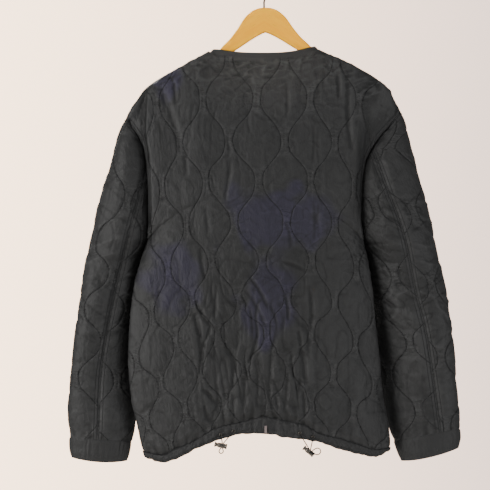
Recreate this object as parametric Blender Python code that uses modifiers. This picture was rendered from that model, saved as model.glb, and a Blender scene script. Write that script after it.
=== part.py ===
"""A collarless quilted jacket hanging on a wooden hanger, in metres.

Frame: +X is the wearer's left, -Y the jacket's front, +Z up. The origin is where the hook
rests on its rail, inside the top of the hook.

Each cloth panel is a wall with a plain inside. Its outer points follow the onion-shaped
quilting: wavy stitch lines run down the cloth, every second one mirrored, and the cloth
between two lines is raised. A panel is built in rows; in each row the points sit on the
stitch lines and at thirds between them, and neighbouring rows are sewn by those numbers.
"""

import math

import bmesh
import bpy
import numpy as np
from mathutils import Matrix, Vector

# ---- cloth
WALL = 0.003            # batting and two layers of nylon, pressed flat at a stitch line
PUFF = 0.0045           # how far the cloth rises between two stitch lines
PUFF_FULL_WIDTH = 0.05  # a strip this wide is raised all the way
SEAM_GAP = 0.0003
EDGE_RAMP = 0.016       # the puff dies out over this distance to a seam
NARROW_STRIP = 0.024    # a strip narrower than this isn't raised
END_CLEAR = 0.006       # no stitch-line point closer than this to the end of a row
SLOT = 1 / 3            # points per strip: the line and two between

# ---- quilting
LINE_SPACING = 0.0513
LINE_WAVE = 0.0185      # a stitch line swings this far to each side
HALF_PERIOD = 0.0735    # pinch to bulge, down the cloth
BACK_LINE_X = -0.0121   # where line 0 runs on the back
PINCH_Z = -0.2373       # a level where lines 0 and 1 come together
QUILT_SAG = 0.045       # how much lower the pattern hangs at the sides of the back
SAG_START = 0.075       # from this distance off the centre
SAG_WIDTH = 0.15
BACK_DRIFT = 0.020      # at the hem the lines have moved this far to the wearer's right
BACK_GATHER = 0.20      # and are drawn together by this share
FRONT_GATHER = 0.12     # and on the fronts by this
DRIFT_LENGTH = 0.483

# ---- body
BODY_ROWS = 30
RIDGE_ROWS = (0.987, 0.996)
ARMPIT_Z = -0.497
ARMHOLE_DEPTH = 0.022   # half the armhole's opening, front to back
RIDGE_ROUND = 0.012     # the cloth bends over the hanger at this radius
FALL_LENGTH = 0.15      # below the ridge the cloth swings out to its full depth over this
NECK_HALF = 0.1005      # the panels' neck corners
BACK_NECK_Z = -0.1554
FRONT_NECK_Z = -0.2300
LAP = 0.013             # the left front passes the centre by this, and so does the right
LAP_DEPTH = 0.0090      # the right front lies this far inside the left
LAP_START = -0.056      # where the right front starts to go under, and over what width
LAP_WIDTH = 0.036
BACK_OVAL = (2.8, 0.5)  # powers of the section's oval, behind and in front
FRONT_OVAL = (2.4, 0.62)
BACK_NECK_POWER = 2.6
FRONT_NECK_POWER = 2.2
PLACKET = 0.030         # no quilting this close to a front edge

BINDING_WIDTH = 0.0095
BINDING_THICK = 0.0052
BINDING_GAP = 0.0018

CUFF_HEIGHT = 0.036
SLANT_LENGTH = 0.20     # the sleeve turns its rows into the cuff's slant over this length
CUFF_GAP = 0.0014
CUFF_THICK = 0.0040
CUFF_POINTS = 36
CUFF_PLEATS = 12
CUFF_PLEAT = 0.0009
ARMHOLE_GAP = 0.0011
VALLEY_POWER = 4        # how fast a sleeve rises out of the armhole seam
CLOSE_LENGTH = 0.10     # below the armpit a section turns from open to oval over this
SEAM_TURN = 0.008       # half a sleeve seam's gap, in radians round the sleeve
COARSE_BEYOND = 0.06
FRONT_LINE_X = 0.0256
HEM_SIDE_X = 0.2265
CASING_POINTS = {1: 78, -1: 42}  # along the back's casing and along a front's
CASING_GAP = 0.0008
CASING_GATHER = 0.0013
GATHER_LENGTH = 0.019
GATHER_DRIFT = 1.2      # the gathers come and go a little, at this rate along the hem
GATHER_TURN = 37
GATHERED_HALF = 0.13    # they are deepest this near the centre, where the cord draws
EVEN_GATHERS = 0.35
HEM_DRAW_IN = 0.02      # the casing's foot is narrower than its seam at the sides
HEM_DRAW_FROM = 0.17
HEM_DRAW_WIDTH = 0.05
CASING_HEIGHT_FRONT = 0.030
CASING_STAND = 0.0042   # past the gathers, in front of the hem's outer face
BINDING_STEP = 0.015
FRONT_BINDING_STEP = 0.060
BINDING_SIDES = 6
NECK_BINDING_CLEAR = 0.022


def table(columns, *rows):
    """Named columns of a short table, one row for each section."""
    data = np.array(rows, dtype=float).T
    return dict(zip(columns.split(), data))


# Top edge of the shoulders over the hanger: distance from the centre, height on each side.
RIDGE = table(
    "x left right",
    (0.0000, -0.0980, -0.0980),
    (0.0500, -0.1195, -0.1150),
    (0.0925, -0.1406, -0.1353),
    (0.1300, -0.1593, -0.1530),
    (0.1650, -0.1777, -0.1695),
    (0.1980, -0.1961, -0.1869),
    (0.2220, -0.2146, -0.2054),
    (0.2350, -0.2331, -0.2239),
    (0.2470, -0.2505, -0.2440),
    (0.2570, -0.2680, -0.2600),
)
# Armhole seam: height as a share from armpit to shoulder, distance from the centre.
ARMHOLE = table(
    "share left right",
    (0.00, 0.2185, 0.1855),
    (0.20, 0.2165, 0.1820),
    (0.40, 0.2165, 0.1825),
    (0.60, 0.2185, 0.1880),
    (0.75, 0.2235, 0.2035),
    (0.85, 0.2320, 0.2220),
    (0.93, 0.2445, 0.2405),
    (1.00, 0.2570, 0.2545),
)
# Side seam from the hem up to the armpit, and how far it lies behind the hanger's plane.
SIDE = table(
    "z left right left_y right_y",
    (-0.900, 0.2190, 0.2310, 0.008, 0.006),
    (-0.870, 0.2276, 0.2342, 0.009, 0.006),
    (-0.830, 0.2350, 0.2300, 0.011, 0.006),
    (-0.788, 0.2455, 0.2222, 0.014, 0.006),
    (-0.714, 0.2516, 0.2133, 0.015, 0.005),
    (-0.664, 0.2498, 0.2080, 0.014, 0.005),
    (-0.585, 0.2424, 0.2000, 0.012, 0.004),
    (-0.530, 0.2290, 0.1925, 0.006, 0.002),
    (-0.497, 0.2185, 0.1855, 0.000, 0.000),
)
# Depth of the body from the hanger's plane to its back and its front.
DEPTH = table(
    "z back front",
    (-0.90, 0.056, 0.060),
    (-0.70, 0.056, 0.060),
    (-0.50, 0.050, 0.052),
    (-0.30, 0.042, 0.042),
    (-0.10, 0.034, 0.034),
)
# Levels at the centre of the back where two lines come together, and which pinch that is.
QUILT_ROWS = table(
    "z pinch",
    (-0.9200, 10.0),
    (-0.8550, 9.0),
    (-0.7900, 8.0),
    (-0.7310, 7.0),
    (-0.6650, 6.0),
    (-0.5990, 5.0),
    (-0.5310, 4.0),
    (-0.4590, 3.0),
    (-0.3850, 2.0),
    (-0.3100, 1.0),
    (-0.2320, 0.0),
    (-0.1560, -1.0),
    (-0.0800, -2.0),
)
# Hem across the body: the casing's seam and its lower edge, drawn up by the cord.
HEM = table(
    "x seam lower",
    (-0.2400, -0.8740, -0.8800),
    (-0.2066, -0.8775, -0.8925),
    (-0.1739, -0.8677, -0.8862),
    (-0.1406, -0.8569, -0.8765),
    (-0.1018, -0.8465, -0.8640),
    (-0.0722, -0.8310, -0.8582),
    (-0.0389, -0.8236, -0.8547),
    (0.0000, -0.8170, -0.8484),
    (0.0326, -0.8236, -0.8484),
    (0.0888, -0.8377, -0.8608),
    (0.1277, -0.8603, -0.8775),
    (0.1610, -0.8751, -0.8947),
    (0.1887, -0.8870, -0.9023),
    (0.2350, -0.8790, -0.8900),
)
# Outer edge of the sleeve from shoulder to cuff.
SLEEVE_OUT = table(
    "z left right y",
    (-0.9050, 0.3545, 0.3540, -0.012),
    (-0.8800, 0.3589, 0.3600, -0.012),
    (-0.8566, 0.3600, 0.3628, -0.010),
    (-0.8251, 0.3608, 0.3608, -0.008),
    (-0.7511, 0.3571, 0.3534, -0.004),
    (-0.6771, 0.3490, 0.3478, 0.000),
    (-0.6031, 0.3386, 0.3386, 0.000),
    (-0.5291, 0.3256, 0.3219, 0.000),
    (-0.4551, 0.3096, 0.3053, 0.000),
    (-0.3811, 0.2905, 0.2868, 0.000),
    (-0.3071, 0.2690, 0.2664, 0.000),
    (-0.2680, 0.2570, 0.2580, 0.000),
    (-0.2558, 0.2520, 0.2545, 0.000),
)
# Inner edge of the sleeve below the armpit; the left one hangs a little to the front.
SLEEVE_IN = table(
    "z left right left_y right_y",
    (-0.905, 0.2555, 0.2570, -0.018, -0.014),
    (-0.862, 0.2450, 0.2400, -0.020, -0.022),
    (-0.830, 0.2390, 0.2290, -0.026, -0.032),
    (-0.760, 0.2320, 0.2140, -0.040, -0.043),
    (-0.700, 0.2310, 0.2060, -0.044, -0.044),
    (-0.640, 0.2310, 0.2010, -0.042, -0.041),
    (-0.585, 0.2300, 0.1965, -0.034, -0.034),
    (-0.550, 0.2315, 0.1955, -0.024, -0.024),
    (-0.530, 0.2310, 0.1945, -0.014, -0.014),
    (-0.512, 0.2255, 0.1915, -0.005, -0.005),
    (-0.497, 0.2192, 0.1862, 0.000, 0.000),
)
SLEEVE_DEPTH = table(
    "z half",
    (-0.905, 0.0270),
    (-0.862, 0.0310),
    (-0.800, 0.0350),
    (-0.720, 0.0385),
    (-0.600, 0.0420),
    (-0.500, 0.0430),
    (-0.420, 0.0400),
    (-0.330, 0.0310),
    (-0.284, 0.0190),
    (-0.2558, 0.0070),
)
# The sleeve's back seam, from the armhole to the cuff.
SLEEVE_SEAM = table(
    "z left right",
    (-0.9050, 0.3095, 0.3330),
    (-0.8560, 0.3070, 0.3265),
    (-0.7567, 0.3034, 0.3127),
    (-0.6640, 0.2905, 0.2985),
    (-0.5902, 0.2757, 0.2800),
    (-0.4900, 0.2516, 0.2590),
    (-0.3940, 0.2257, 0.2250),
    (-0.3400, 0.2110, 0.2055),
    (-0.2558, 0.1900, 0.1700),
)
# Levels of every second pinch on each part of the sleeves, which have patterns of their own.
SLEEVE_ROWS = table(
    "pinch left_upper left_under right_upper right_under",
    (-2.0, -0.196, -0.205, -0.176, -0.186),
    (0.0, -0.344, -0.345, -0.309, -0.310),
    (2.0, -0.492, -0.490, -0.442, -0.433),
    (4.0, -0.616, -0.625, -0.575, -0.557),
    (6.0, -0.747, -0.752, -0.709, -0.681),
    (8.0, -0.880, -0.885, -0.838, -0.807),
    (10.0, -1.010, -1.020, -0.970, -0.930),
)
# How far from the sleeve's back seam line 0 swings to and fro.
SLEEVE_LINE = table(
    "z left_upper left_under right_upper right_under",
    (-0.86, 0.012, 0.008, -0.013, 0.008),
    (-0.80, 0.018, 0.008, -0.010, 0.008),
    (-0.70, 0.025, 0.008, -0.004, 0.008),
    (-0.60, 0.034, 0.008, 0.006, 0.008),
    (-0.49, 0.042, 0.008, 0.008, 0.008),
    (-0.34, 0.046, 0.008, 0.006, 0.008),
)
# The cuff's outer face, from its seam down: share of its height, swell, share of the pleats.
CUFF_RINGS = ((0, -0.0005, 1), (0.5, 0.0012, 0.75), (1, -0.0008, 0.5))
# The hem casing's section: share of its height, distance out, share of the gathers.
CASING_RINGS = (
    (0, 0.0003, 0),
    (0.5, 0.0018, 1),
    (1, -0.0010, 1),
    (0.7, -0.0042, 0.4),
    (0, -0.0034, 0),
)
# Each sleeve: where it starts on the shoulder, where its cuff starts, and the cuff's slant.
SLEEVES = {
    "left": {"sign": 1, "top": -0.2680, "cuff": -0.8615, "slant": 0.007},
    "right": {"sign": -1, "top": -0.2558, "cuff": -0.8530, "slant": 0.024},
}
UNDER_SEAM = math.radians(188)  # round the sleeve from its outer edge, over the back

# ---- hardware
SNAP_COUNT = 5
SNAP_TOP_Z = -0.262
SNAP_LOW_Z = -0.790
SNAP_RADIUS = 0.0062
SNAP_THICK = 0.0022
TAB_X = -0.0028
TAB_SIZE = (0.0046, 0.0016, 0.0135)
EYELET_RADIUS = 0.0027
EYELET_HOLE = 0.0013
EYELET_THICK = 0.0012
CORD_DIAMETER = 0.0018
CORD_POINTS = 26
CORD_OFF_CLOTH = 0.0016
CORD_APART = 0.00125
EYELET_SHARE = 0.62
SNAP_LIFT = 0.0008
TAB_SINK = 0.0008
TAB_SHARE = 0.72
LOCK_STAND = 0.0040
# Each cord lock: its middle, the lean of its barrel, and the two eyelets its cord comes from.
LOCKS = {
    "left": {"x": 0.0768, "z": -0.8695, "lean": 12, "eyelets": (0.0560, 0.0800)},
    "right": {"x": -0.0838, "z": -0.8815, "lean": 39, "eyelets": (-0.0652, -0.0897)},
}
LOCK_RADIUS = 0.0036
LOCK_FLANGE = 0.0046
LOCK_LENGTH = 0.0150
LOCK_SLOT = (0.0066, 0.0034)
BUTTON_RADIUS = 0.0024
BUTTON_LENGTH = 0.0050
LOOP_WIDTH = 0.0072
LOOP_DROP = 0.0110
# The right cord's loop stands out sideways: its middle, and its points round that.
SIDE_LOOP_WAY = (-1.0, 0, 0.15)
SIDE_LOOP_REACH = 0.0135
SIDE_LOOP = table(
    "x z",
    (0.0042, -0.0030),
    (-0.0010, -0.0040),
    (-0.0046, 0.0002),
    (-0.0008, 0.0042),
    (0.0048, 0.0026),
)

# ---- hanger
WOOD_THICK = 0.0112
WOOD_ROUND = 0.0032
WOOD_NECK_X = 0.0740     # past here the arms go under the cloth
WOOD_TILT = math.radians(1.3)
WIRE_RADIUS = 0.0017
HOOK_INNER = 0.019
SHANK_END_Z = -0.0612
# Half of the hanger's outline: along the top to the tip, then back along the underside.
WOOD_TOP = table(
    "x z",
    (0.0000, -0.0622),
    (0.0110, -0.0633),
    (0.0207, -0.0667),
    (0.0300, -0.0730),
    (0.0379, -0.0807),
    (0.0512, -0.1002),
    (0.0654, -0.1183),
    (0.0740, -0.1266),
    (0.0790, -0.1500),
    (0.0880, -0.1575),
    (0.0960, -0.1610),
    (0.1300, -0.1700),
    (0.1650, -0.1865),
    (0.1980, -0.2050),
    (0.2120, -0.2150),
)
WOOD_LOW = table(
    "x z",
    (0.2120, -0.2300),
    (0.2050, -0.2310),
    (0.1700, -0.2100),
    (0.1200, -0.1790),
    (0.0615, -0.1440),
    (0.0080, -0.1115),
    (0.0000, -0.1084),
)

COLOURS = {
    "nylon": ((0.032, 0.032, 0.036), 0.42, 0.0),
    "binding": ((0.022, 0.022, 0.025), 0.55, 0.0),
    "elastic": ((0.030, 0.030, 0.033), 0.70, 0.0),
    "gunmetal": ((0.060, 0.060, 0.065), 0.28, 0.8),
    "tape": ((0.230, 0.180, 0.175), 0.75, 0.0),
    "beech": ((0.780, 0.480, 0.200), 0.40, 0.0),
    "steel": ((0.420, 0.410, 0.400), 0.28, 1.0),
}


# ---------------------------------------------------------------- helpers


def curve_value(xs, ys, x):
    """Smooth curve through a table's points that never overshoots (monotone cubic)."""
    order = np.argsort(xs)
    xs, ys = xs[order], ys[order]
    step = np.diff(xs)
    slope = np.diff(ys) / step
    same = slope[:-1] * slope[1:] > 0
    mean = 2 * slope[:-1] * slope[1:] / np.where(same, slope[:-1] + slope[1:], 1)
    tangent = np.concatenate([slope[:1], np.where(same, mean, 0), slope[-1:]])
    x = np.clip(x, xs[0], xs[-1])
    i = np.clip(np.searchsorted(xs, x) - 1, 0, len(step) - 1)
    t = (x - xs[i]) / step[i]
    h00, h10 = (1 + 2 * t) * (1 - t) ** 2, t * (1 - t) ** 2
    h01, h11 = t * t * (3 - 2 * t), t * t * (t - 1)
    bend = (h10 * tangent[i] + h11 * tangent[i + 1]) * step[i]
    return h00 * ys[i] + h01 * ys[i + 1] + bend


def smooth_step(x):
    x = np.clip(x, 0, 1)
    return x * x * (3 - 2 * x)


def blend(a, b, share):
    return a + (b - a) * share


def path_lengths(points):
    """Distance run along a path at each of its points."""
    return np.concatenate([[0], np.cumsum(np.linalg.norm(np.diff(points, axis=0), axis=1))])


def along_path(at, run, points):
    return np.stack([np.interp(at, run, points[:, i]) for i in range(3)], axis=1)


def unit(vectors):
    size = np.linalg.norm(vectors, axis=-1, keepdims=True)
    return vectors / np.maximum(size, 1e-12)


def make_material(name):
    colour, roughness, metallic = COLOURS[name]
    material = bpy.data.materials.new(name)
    material.use_nodes = True
    shader = material.node_tree.nodes["Principled BSDF"]
    shader.inputs["Base Color"].default_value = (*colour, 1)
    shader.inputs["Roughness"].default_value = roughness
    shader.inputs["Metallic"].default_value = metallic
    return material


def add_object(name, mesh, material, collection):
    part = bpy.data.objects.new(name, mesh)
    mesh.materials.clear()
    mesh.materials.append(material)
    collection.objects.link(part)
    return part


def mesh_from_faces(name, points, faces):
    mesh = bpy.data.meshes.new(name)
    mesh.from_pydata([tuple(p) for p in points], [], faces)
    work = bmesh.new()
    work.from_mesh(mesh)
    bmesh.ops.recalc_face_normals(work, faces=work.faces)
    work.to_mesh(mesh)
    work.free()
    mesh.shade_smooth()
    mesh.set_sharp_from_angle(angle=math.radians(40))
    return mesh


# ---------------------------------------------------------------- quilting


def stitch_line(number, height):
    """Where a stitch line runs across the cloth at a height: its place plus its wave."""
    swing = LINE_WAVE * np.cos(math.pi * (height - PINCH_Z) / HALF_PERIOD)
    return LINE_SPACING * number + np.where(number % 2 == 0, swing, -swing)


def strip_number(across, height):
    """Each point's place among the stitch lines: 2.5 is halfway from line 2 to line 3."""
    guess = np.floor(across / LINE_SPACING)
    result = np.zeros_like(across)
    for shift in (-1, 0, 1):
        low = stitch_line(guess + shift, height)
        high = stitch_line(guess + shift + 1, height)
        inside = (across >= low) & (across < high)
        result = np.where(inside, guess + shift + (across - low) / (high - low), result)
    return result


def strip_width(number, height):
    low = np.floor(number + 1e-9)
    return stitch_line(low + 1, height) - stitch_line(low, height)


# ---------------------------------------------------------------- panels


class Panel:
    """A cloth wall over rows of a surface, raised between its stitch lines.

    surface(s, row) gives the outer points for s from 0 to 1 along a row. fabric(points, run)
    gives each point's place across the cloth and the height of the pattern there. plain is
    the width without quilting at each end of the rows, and coarse the distance from an end
    past which the inner face keeps only its points on stitch lines. around is the surface
    that gives the wall's direction and reach how far past its own ends it may be read.
    """

    SAMPLES = 160

    def __init__(self, surface, fabric, rows, inward=False, corners=(), plain=(0, 0), coarse=1,
                 keep_side=lambda points: points, around=None, reach=lambda row: (0, 1)):
        self.surface, self.fabric, self.rows = surface, fabric, rows
        self.keep_side, self.around, self.reach = keep_side, around or surface, reach
        self.turn = -1 if inward else 1
        self.corners, self.plain, self.coarse = corners, plain, coarse
        self.points, self.faces = [], []

    def normals(self, s, row):
        """Outward direction, from the surface's slopes along and across its rows."""
        step_s, step_row = 1e-3, 2e-3 * (self.rows[-1] - self.rows[0])
        s0, s1 = np.clip(s - step_s, *self.reach(row)), np.clip(s + step_s, *self.reach(row))
        r0, r1 = max(row - step_row, self.rows[0]), min(row + step_row, self.rows[-1])
        along = self.around(s1, row) - self.around(s0, row)
        up = self.around(s, r1) - self.around(s, r0)
        return self.turn * unit(np.cross(along, up))

    def columns(self, row, full):
        """One row's points: both ends, the stitch lines and the thirds between them.

        Returns each point's share of the row, its strip number, its distance from the row's
        start, the row's length and the pattern's height at the point.
        """
        s = np.linspace(0, 1, self.SAMPLES)
        points = self.surface(s, row)
        run = path_lengths(points)
        across, height = self.fabric(points, run)
        number = np.maximum.accumulate(strip_number(across, height)) + np.arange(len(s)) * 1e-9
        slots = np.arange(math.ceil(number[0] / SLOT), math.floor(number[-1] / SLOT) + 1)
        place = np.interp(slots * SLOT, number, run)
        keep = (place > END_CLEAR) & (place < run[-1] - END_CLEAR)
        width = strip_width(slots * SLOT, np.interp(place, run, height))
        keep &= (slots % 3 == 0) | (width > NARROW_STRIP)
        if not full:
            keep &= (np.minimum(place, run[-1] - place) < self.coarse) | (slots % 3 == 0)
        places = np.concatenate([[0], place[keep], [run[-1]]])
        keys = np.concatenate([[number[0]], slots[keep] * SLOT, [number[-1]]])
        for corner in self.corners if row == self.rows[-1] else ():
            extra = np.interp(corner, s, run)
            at = np.searchsorted(places, extra)
            places = np.insert(places, at, extra)
            keys = np.insert(keys, at, np.interp(extra, run, number))
        return np.interp(places, run, s), keys, places, run[-1], np.interp(places, run, height)

    def rise(self, keys, places, length, height, edge):
        """Height of the puff: none on a stitch line or at a seam, most in a wide strip."""
        between = np.abs(keys - np.round(keys)) > SLOT / 2
        wide = np.clip(strip_width(keys, height) / PUFF_FULL_WIDTH, 0, 1) ** 0.7
        near = np.minimum(places - self.plain[0], length - places - self.plain[1])
        return PUFF * between * wide * smooth_step(np.minimum(near, edge) / EDGE_RAMP)

    def add_layer(self, outer):
        """One face of the wall, as rows of strip numbers and point numbers."""
        layer = []
        travel = path_lengths(np.array([self.surface(np.array([0.5]), r)[0] for r in self.rows]))
        for index, row in enumerate(self.rows):
            at_seam = index in (0, len(self.rows) - 1)
            share, keys, places, length, height = self.columns(row, outer or at_seam)
            points, normal = self.surface(share, row), self.normals(share, row)
            if outer:
                edge = min(travel[index], travel[-1] - travel[index])
                points = points + normal * self.rise(keys, places, length, height, edge)[:, None]
            else:
                points = self.keep_side(points - normal * WALL)
            start = len(self.points)
            self.points.extend(points)
            layer.append((keys, list(range(start, start + len(keys)))))
        return layer

    def edge(self, row, s):
        """Points of a seam as it is built, straight from one column to the next."""
        share = self.columns(row, True)[0]
        return along_path(s, share, self.surface(share, row))

    def sew(self, low_row, high_row):
        """Triangles between two neighbouring rows, taking the lower strip number first."""
        (low_keys, low), (high_keys, high) = low_row, high_row
        i = j = 0
        while i < len(low) - 1 or j < len(high) - 1:
            low_next = low_keys[i + 1] if i < len(low) - 2 else math.inf
            high_next = high_keys[j + 1] if j < len(high) - 2 else math.inf
            if i < len(low) - 1 and (low_next <= high_next or j == len(high) - 1):
                if low_next < math.inf or j >= len(high) - 2:
                    self.faces.append((low[i], low[i + 1], high[j]))
                    i += 1
                    continue
            self.faces.append((low[i], high[j + 1], high[j]))
            j += 1

    def mesh(self, name):
        outer, inner = self.add_layer(True), self.add_layer(False)
        for layer in (outer, inner):
            for low, high in zip(layer[:-1], layer[1:]):
                self.sew(low, high)
        for row in (0, -1):
            out_row, in_row = outer[row][1], inner[row][1]
            for k in range(len(out_row) - 1):
                self.faces.append((out_row[k], out_row[k + 1], in_row[k + 1], in_row[k]))
        for end in (0, -1):
            for low, high in zip(range(len(outer) - 1), range(1, len(outer))):
                rim = (outer[low], outer[high], inner[high], inner[low])
                self.faces.append(tuple(numbers[end] for _, numbers in rim))
        return mesh_from_faces(name, self.points, self.faces)


# ---------------------------------------------------------------- body


def ridge_z(x):
    left = curve_value(RIDGE["x"], RIDGE["left"], np.abs(x))
    right = curve_value(RIDGE["x"], RIDGE["right"], np.abs(x))
    return np.where(x >= 0, left, right)


def side_x(side, z):
    """Distance of the body's edge from the centre: the armhole, and below it the side seam."""
    top = SLEEVES[side]["top"]
    share = (z - ARMPIT_Z) / (top - ARMPIT_Z)
    armhole = curve_value(ARMHOLE["share"], ARMHOLE[side], share)
    return np.where(z > ARMPIT_Z, armhole, curve_value(SIDE["z"], SIDE[side], z))


def armhole_y(side, z):
    """Half the armhole's opening at a height, as on an oval."""
    share = np.clip((z - ARMPIT_Z) / (SLEEVES[side]["top"] - ARMPIT_Z), 0, 1)
    return ARMHOLE_DEPTH * (2 * np.sqrt(share * (1 - share))) ** 0.8


def side_y(side, z):
    return np.where(z > ARMPIT_Z, 0, curve_value(SIDE["z"], SIDE[side + "_y"], z))


def hem_seam_z(x):
    return curve_value(HEM["x"], HEM["seam"], x)


def neck_z(x, low, power):
    """Neckline: lowest at the centre, rising with a power of x to the neck corners."""
    corner = ridge_z(np.sign(x) * NECK_HALF)
    return low + (corner - low) * (np.abs(x) / NECK_HALF) ** power


def top_edge_z(x, face):
    low = BACK_NECK_Z if face > 0 else FRONT_NECK_Z
    power = BACK_NECK_POWER if face > 0 else FRONT_NECK_POWER
    return np.where(np.abs(x) < NECK_HALF, neck_z(x, low, power), ridge_z(x))


def body_surface(face, x_start, x_end):
    """The back (face 1) or a front (face -1) between two edges.

    An edge is "left", "right" or a number for a straight front edge. Height blends from the
    hem seam to the top edge; depth grows below the ridge and closes as an oval at the sides.
    """

    def edge(which, row):
        if not isinstance(which, str):
            return which, None
        top = SLEEVES[which]["top"]
        sign = SLEEVES[which]["sign"]
        hem = float(hem_seam_z(np.array(sign * HEM_SIDE_X)))
        z = blend(hem, top, row)
        return sign * float(side_x(which, np.array(z))), z

    def surface(s, row):
        a, _ = edge(x_start, row)
        b, _ = edge(x_end, row)
        low_a, _ = edge(x_start, 0)
        low_b, _ = edge(x_end, 0)
        top_a, _ = edge(x_start, 1)
        top_b, _ = edge(x_end, 1)
        x = blend(a, b, s)
        z = blend(hem_seam_z(blend(low_a, low_b, s)), top_edge_z(blend(top_a, top_b, s), face), row)
        right, z_right = edge("right", row)
        left, z_left = edge("left", row)
        round_out = np.clip(np.abs(2 * (x - right) / (left - right) - 1), 0, 1)
        power, root = BACK_OVAL if face > 0 else FRONT_OVAL
        fullness = (1 - round_out**power) ** root
        drop = np.maximum(ridge_z(x) - z, 0)
        over = RIDGE_ROUND * np.sqrt(1 - (1 - np.minimum(drop / RIDGE_ROUND, 1)) ** 2)
        depth = curve_value(DEPTH["z"], DEPTH["back" if face > 0 else "front"], z)
        depth = over + (depth - RIDGE_ROUND) * (1 - np.exp(-drop / FALL_LENGTH))
        seam_left = side_y("left", z_left) + face * armhole_y("left", z_left)
        seam_right = side_y("right", z_right) + face * armhole_y("right", z_right)
        seam = np.where(x > 0, seam_left, seam_right)
        y = face * depth * fullness + seam * (1 - fullness) + face * SEAM_GAP / 2
        if face < 0 and x_end != "left":
            y = y + LAP_DEPTH * smooth_step((x - LAP_START) / LAP_WIDTH)
        return np.stack([x, y, z], axis=-1)

    return surface


def back_fabric(points, run):
    """The back's pattern: across from line 0, drawn together and aside towards the hem."""
    x, z = points[:, 0], points[:, 2]
    sink = np.clip((PINCH_Z - HALF_PERIOD - z) / DRIFT_LENGTH, 0, 1.2)
    middle = np.interp(0, x, run)
    across = (run - middle + BACK_DRIFT * sink) / (1 - BACK_GATHER * sink)
    off_centre = np.maximum(np.abs(x) - SAG_START, 0) / SAG_WIDTH
    sag = QUILT_SAG * off_centre**2 * (0.4 + 0.6 * smooth_step((PINCH_Z - z) / DRIFT_LENGTH))
    pinch = curve_value(QUILT_ROWS["z"], QUILT_ROWS["pinch"], z + sag)
    return across - BACK_LINE_X, PINCH_Z - pinch * HALF_PERIOD


def front_fabric(middle_x):
    def fabric(points, run):
        x, z = points[:, 0], points[:, 2]
        sink = np.clip((PINCH_Z - z) / DRIFT_LENGTH, 0, 1.2)
        across = (run - np.interp(middle_x, x, run)) / (1 - FRONT_GATHER * sink)
        return across, z

    return fabric


def keep_to_face(face):
    """Keeps points on their own side of the shoulder and side seams and of the armhole."""

    def keep_side(points):
        x, y, z = points.T
        x = np.clip(x, -side_x("right", z), side_x("left", z))
        seam = np.where(x > 0, side_y("left", z), side_y("right", z))
        y = seam + face * np.maximum(face * (y - seam), SEAM_GAP / 2)
        return np.stack([x, y, z], axis=1)

    return keep_side


def row_shares():
    """Rows from hem to shoulder, with two more where the cloth bends over the hanger."""
    even = np.linspace(0, 1, BODY_ROWS + 1)[:-1]
    return np.concatenate([even, RIDGE_ROWS, [1]])


def body_panels():
    """The back and the two fronts. Their rows run from the wearer's right to the left."""
    rows = row_shares()
    top_left = float(side_x("left", np.array(SLEEVES["left"]["top"])))
    top_right = -float(side_x("right", np.array(SLEEVES["right"]["top"])))
    corners = [(c - top_right) / (top_left - top_right) for c in (-NECK_HALF, NECK_HALF)]
    surface = body_surface(1, "right", "left")
    finish = {"coarse": COARSE_BEYOND, "keep_side": keep_to_face(1)}
    back = Panel(surface, back_fabric, rows, True, corners, **finish)
    finish["keep_side"] = keep_to_face(-1)
    corner = (NECK_HALF + LAP) / (top_left + LAP)
    surface, fabric = body_surface(-1, -LAP, "left"), front_fabric(FRONT_LINE_X)
    plain = (PLACKET, 0)
    left = Panel(surface, fabric, rows, False, (corner,), plain, **finish)
    corner = (-NECK_HALF - top_right) / (LAP - top_right)
    surface, fabric = body_surface(-1, "right", LAP), front_fabric(-FRONT_LINE_X)
    right = Panel(surface, fabric, rows, False, (corner,), plain[::-1], **finish)
    return {"back_panel": back, "front_panel_left": left, "front_panel_right": right}


# ---------------------------------------------------------------- sleeves


def sleeve_point(side, turn, level):
    """Points round a sleeve: turn runs from its outer edge, positive over the back.

    Above the armpit a section opens onto the armhole; below it closes as an oval.
    """
    sleeve = SLEEVES[side]
    reach = (1 + np.cos(turn)) / 2
    lower = smooth_step((sleeve["cuff"] + SLANT_LENGTH - level) / SLANT_LENGTH)
    z = level + sleeve["slant"] * (reach - 0.5) * lower
    inner = curve_value(SLEEVE_IN["z"], SLEEVE_IN[side], z)
    inner = np.where(z > ARMPIT_Z, side_x(side, z) + ARMHOLE_GAP, inner)
    outer = np.maximum(curve_value(SLEEVE_OUT["z"], SLEEVE_OUT[side], z), inner + ARMHOLE_GAP)
    inner_y = np.where(z > ARMPIT_Z, 0, curve_value(SLEEVE_IN["z"], SLEEVE_IN[side + "_y"], z))
    middle = blend(inner_y, curve_value(SLEEVE_OUT["z"], SLEEVE_OUT["y"], z), reach)
    half = curve_value(SLEEVE_DEPTH["z"], SLEEVE_DEPTH["half"], z)
    opening = np.minimum(armhole_y(side, z) / half, 1)
    valley = opening + (1 - opening) * (1 - (1 - reach) ** VALLEY_POWER)
    open_shape = np.sqrt(1 - reach**2.4) * valley
    closed_shape = np.abs(np.sin(turn)) ** 0.9
    shape = blend(open_shape, closed_shape, smooth_step((ARMPIT_Z - z) / CLOSE_LENGTH))
    face = np.where(np.sin(turn) >= 0, 1, -1)
    y = middle + face * (half * shape + SEAM_GAP)
    return np.stack([sleeve["sign"] * blend(inner, outer, reach), y, z], axis=-1)


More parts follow.
